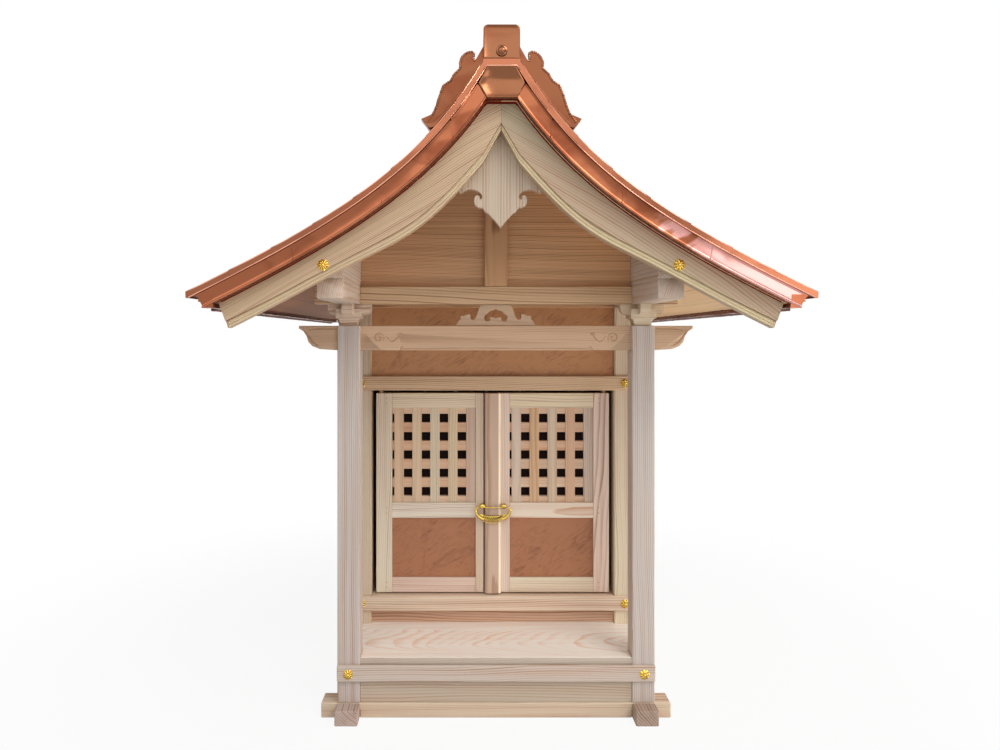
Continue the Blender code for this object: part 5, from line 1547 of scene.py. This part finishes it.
def pegs(name, spots, y, body="root", radius=0.0009):
    """Small round pegs standing a little proud of a face that looks forward."""
    work = bmesh.new()
    for spot in spots:
        add_rings(work, [circle(spot, radius * share, y - out, 10) for share, out in PEG])
    return add_piece(name, work, NAIL, body, smooth=40)


for label, side in SIDES:
    size = leaf_sizes(label)
    stile = size[label] + side * 0.0095
    spots = [(stile, z) for z in (size["foot"] + 0.009, size["foot"] + 0.018, size["panel_high"] + 0.009,
                                  size["panel_high"] + 0.019, size["top"] - 0.009, size["top"] - 0.018)]
    pegs(label + "_door_pegs", spots, DOOR_Y, label + "_door")
pegs("floor_rail_pegs", [(x, middle_height("front_floor_rail")) for x in (-0.15, -0.05, 0.05, 0.15)],
     low("front_floor_rail", "Y"), radius=0.0007)

# %% [markdown]
# ## Floor, light and camera
#
# The shrine was photographed against plain white in soft light that comes mostly from the front
# right and above. One large soft lamp does most of it. A low one at the right reaches under the
# eaves. A small one stands where the right end of the copper band mirrors it, and a last, very
# large one in front reaches the porch floor and the doors. The floor and the sky look white to the
# camera and in the metal, but light the timber only as strongly as a grey room would, so the wood
# keeps its colour. Further out the floor fades into the same white, and only the shadow round the
# shrine is left.

# %%
def softbox(name, spot, target, size, power, colour=(1, 1, 1)):
    data = bpy.data.lights.new(name, "AREA")
    data.shape = "RECTANGLE"
    data.size, data.size_y = size
    data.energy = power
    data.color = colour
    lamp = bpy.data.objects.new(name, data)
    bpy.context.scene.collection.objects.link(lamp)
    lamp.location = spot
    lamp.rotation_euler = (Vector(target) - Vector(spot)).to_track_quat("-Z", "Y").to_euler()
    return lamp


softbox("key_lamp", (1.7, -2.1, 2.9), (0, 0, 0.4), (1.6, 1.6), 44, (1.0, 0.99, 0.975))
softbox("low_lamp", (2.2, -0.6, 0.25), (0, 0, 0.6), (0.8, 0.5), 19, (1.0, 0.95, 0.88))
softbox("window_lamp", (1.25, -2.5, 0.75), (0, -0.2, 0.4), (0.7, 0.7), 2.8, (1.0, 0.97, 1.0))
softbox("front_lamp", (-0.3, -3.1, 2.7), (0, 0, 0.2), (4.8, 2.8), 44)

world = bpy.data.worlds.new("studio")
world.use_nodes = True
bpy.context.scene.world = world
room = Finish("studio_room")
room.tree = world.node_tree
WHITE = (1.0, 1.0, 1.0)


def background_share(finish):
    """1 for every ray that should see the white studio: from the camera, off metal or through glass."""
    rays = [finish.node("ShaderNodeLightPath", output=name) for name in
            ("Is Camera Ray", "Is Glossy Ray", "Is Transmission Ray")]
    return (rays[0] + rays[1] + rays[2]).math("MINIMUM", 1.0)


up = room.split(room.node("ShaderNodeTexCoord", output="Generated"))[2]
walls = room.blend(up.between(-0.25, 0.5), (0.26, 0.22, 0.19), (0.34, 0.35, 0.37))
background = world.node_tree.nodes["Background"]
seen = room.blend(background_share(room), walls, WHITE)
world.node_tree.links.new(seen.socket, background.inputs["Color"])
background.inputs["Strength"].default_value = 1.0
bpy.data.materials.remove(room.material)

FADE_START, FADE_END = 0.45, 1.3
ground = Finish("pale_floor", roughness=0.9)
speck = ground.cloud(ground.place(), scale=90.0, detail=3.0)
ground.feed(Base_Color=ground.blend(speck, (0.80, 0.80, 0.80), (0.84, 0.84, 0.84)))
white = ground.node("ShaderNodeEmission", values={"Color": (*WHITE, 1.0), "Strength": 1.0})
floor_x, floor_y, _ = ground.split(ground.place())
far_off = ((floor_x * floor_x + floor_y * floor_y) ** 0.5).between(FADE_START, FADE_END)
glow = background_share(ground) * (far_off * 0.10 + 0.90)
lit = Term(ground, ground.shader.outputs[0])
mixed = ground.node("ShaderNodeMixShader", values={0: glow, 1: lit, 2: white})
output = ground.tree.nodes["Material Output"]
ground.tree.links.new(mixed.socket, output.inputs["Surface"])
work = bmesh.new()
work.faces.new([work.verts.new((x, y, -0.0002)) for x, y in ((-6, -6), (6, -6), (6, 9), (-6, 9))])
floor = add_mesh("pale_floor", work, ground.material)

# %% [markdown]
# The camera stands a little left of the middle, level, about 1.2 m in front of the porch posts.
# The picture is cropped off centre, which is what the two shifts do; a tilted camera would have
# made the posts lean.

# %%
camera_data = bpy.data.cameras.new("camera")
camera_data.lens = 27.36
camera_data.sensor_width = 36
camera_data.shift_x = 0.033
camera_data.shift_y = -0.037
camera = bpy.data.objects.new("camera", camera_data)
bpy.context.scene.collection.objects.link(camera)
camera.location = (-0.0466, PORCH_Y - 1.221, 0.6103)
camera.rotation_euler = (math.pi / 2, 0, 0)
bpy.context.scene.camera = camera
bpy.context.scene.view_settings.view_transform = "Standard"
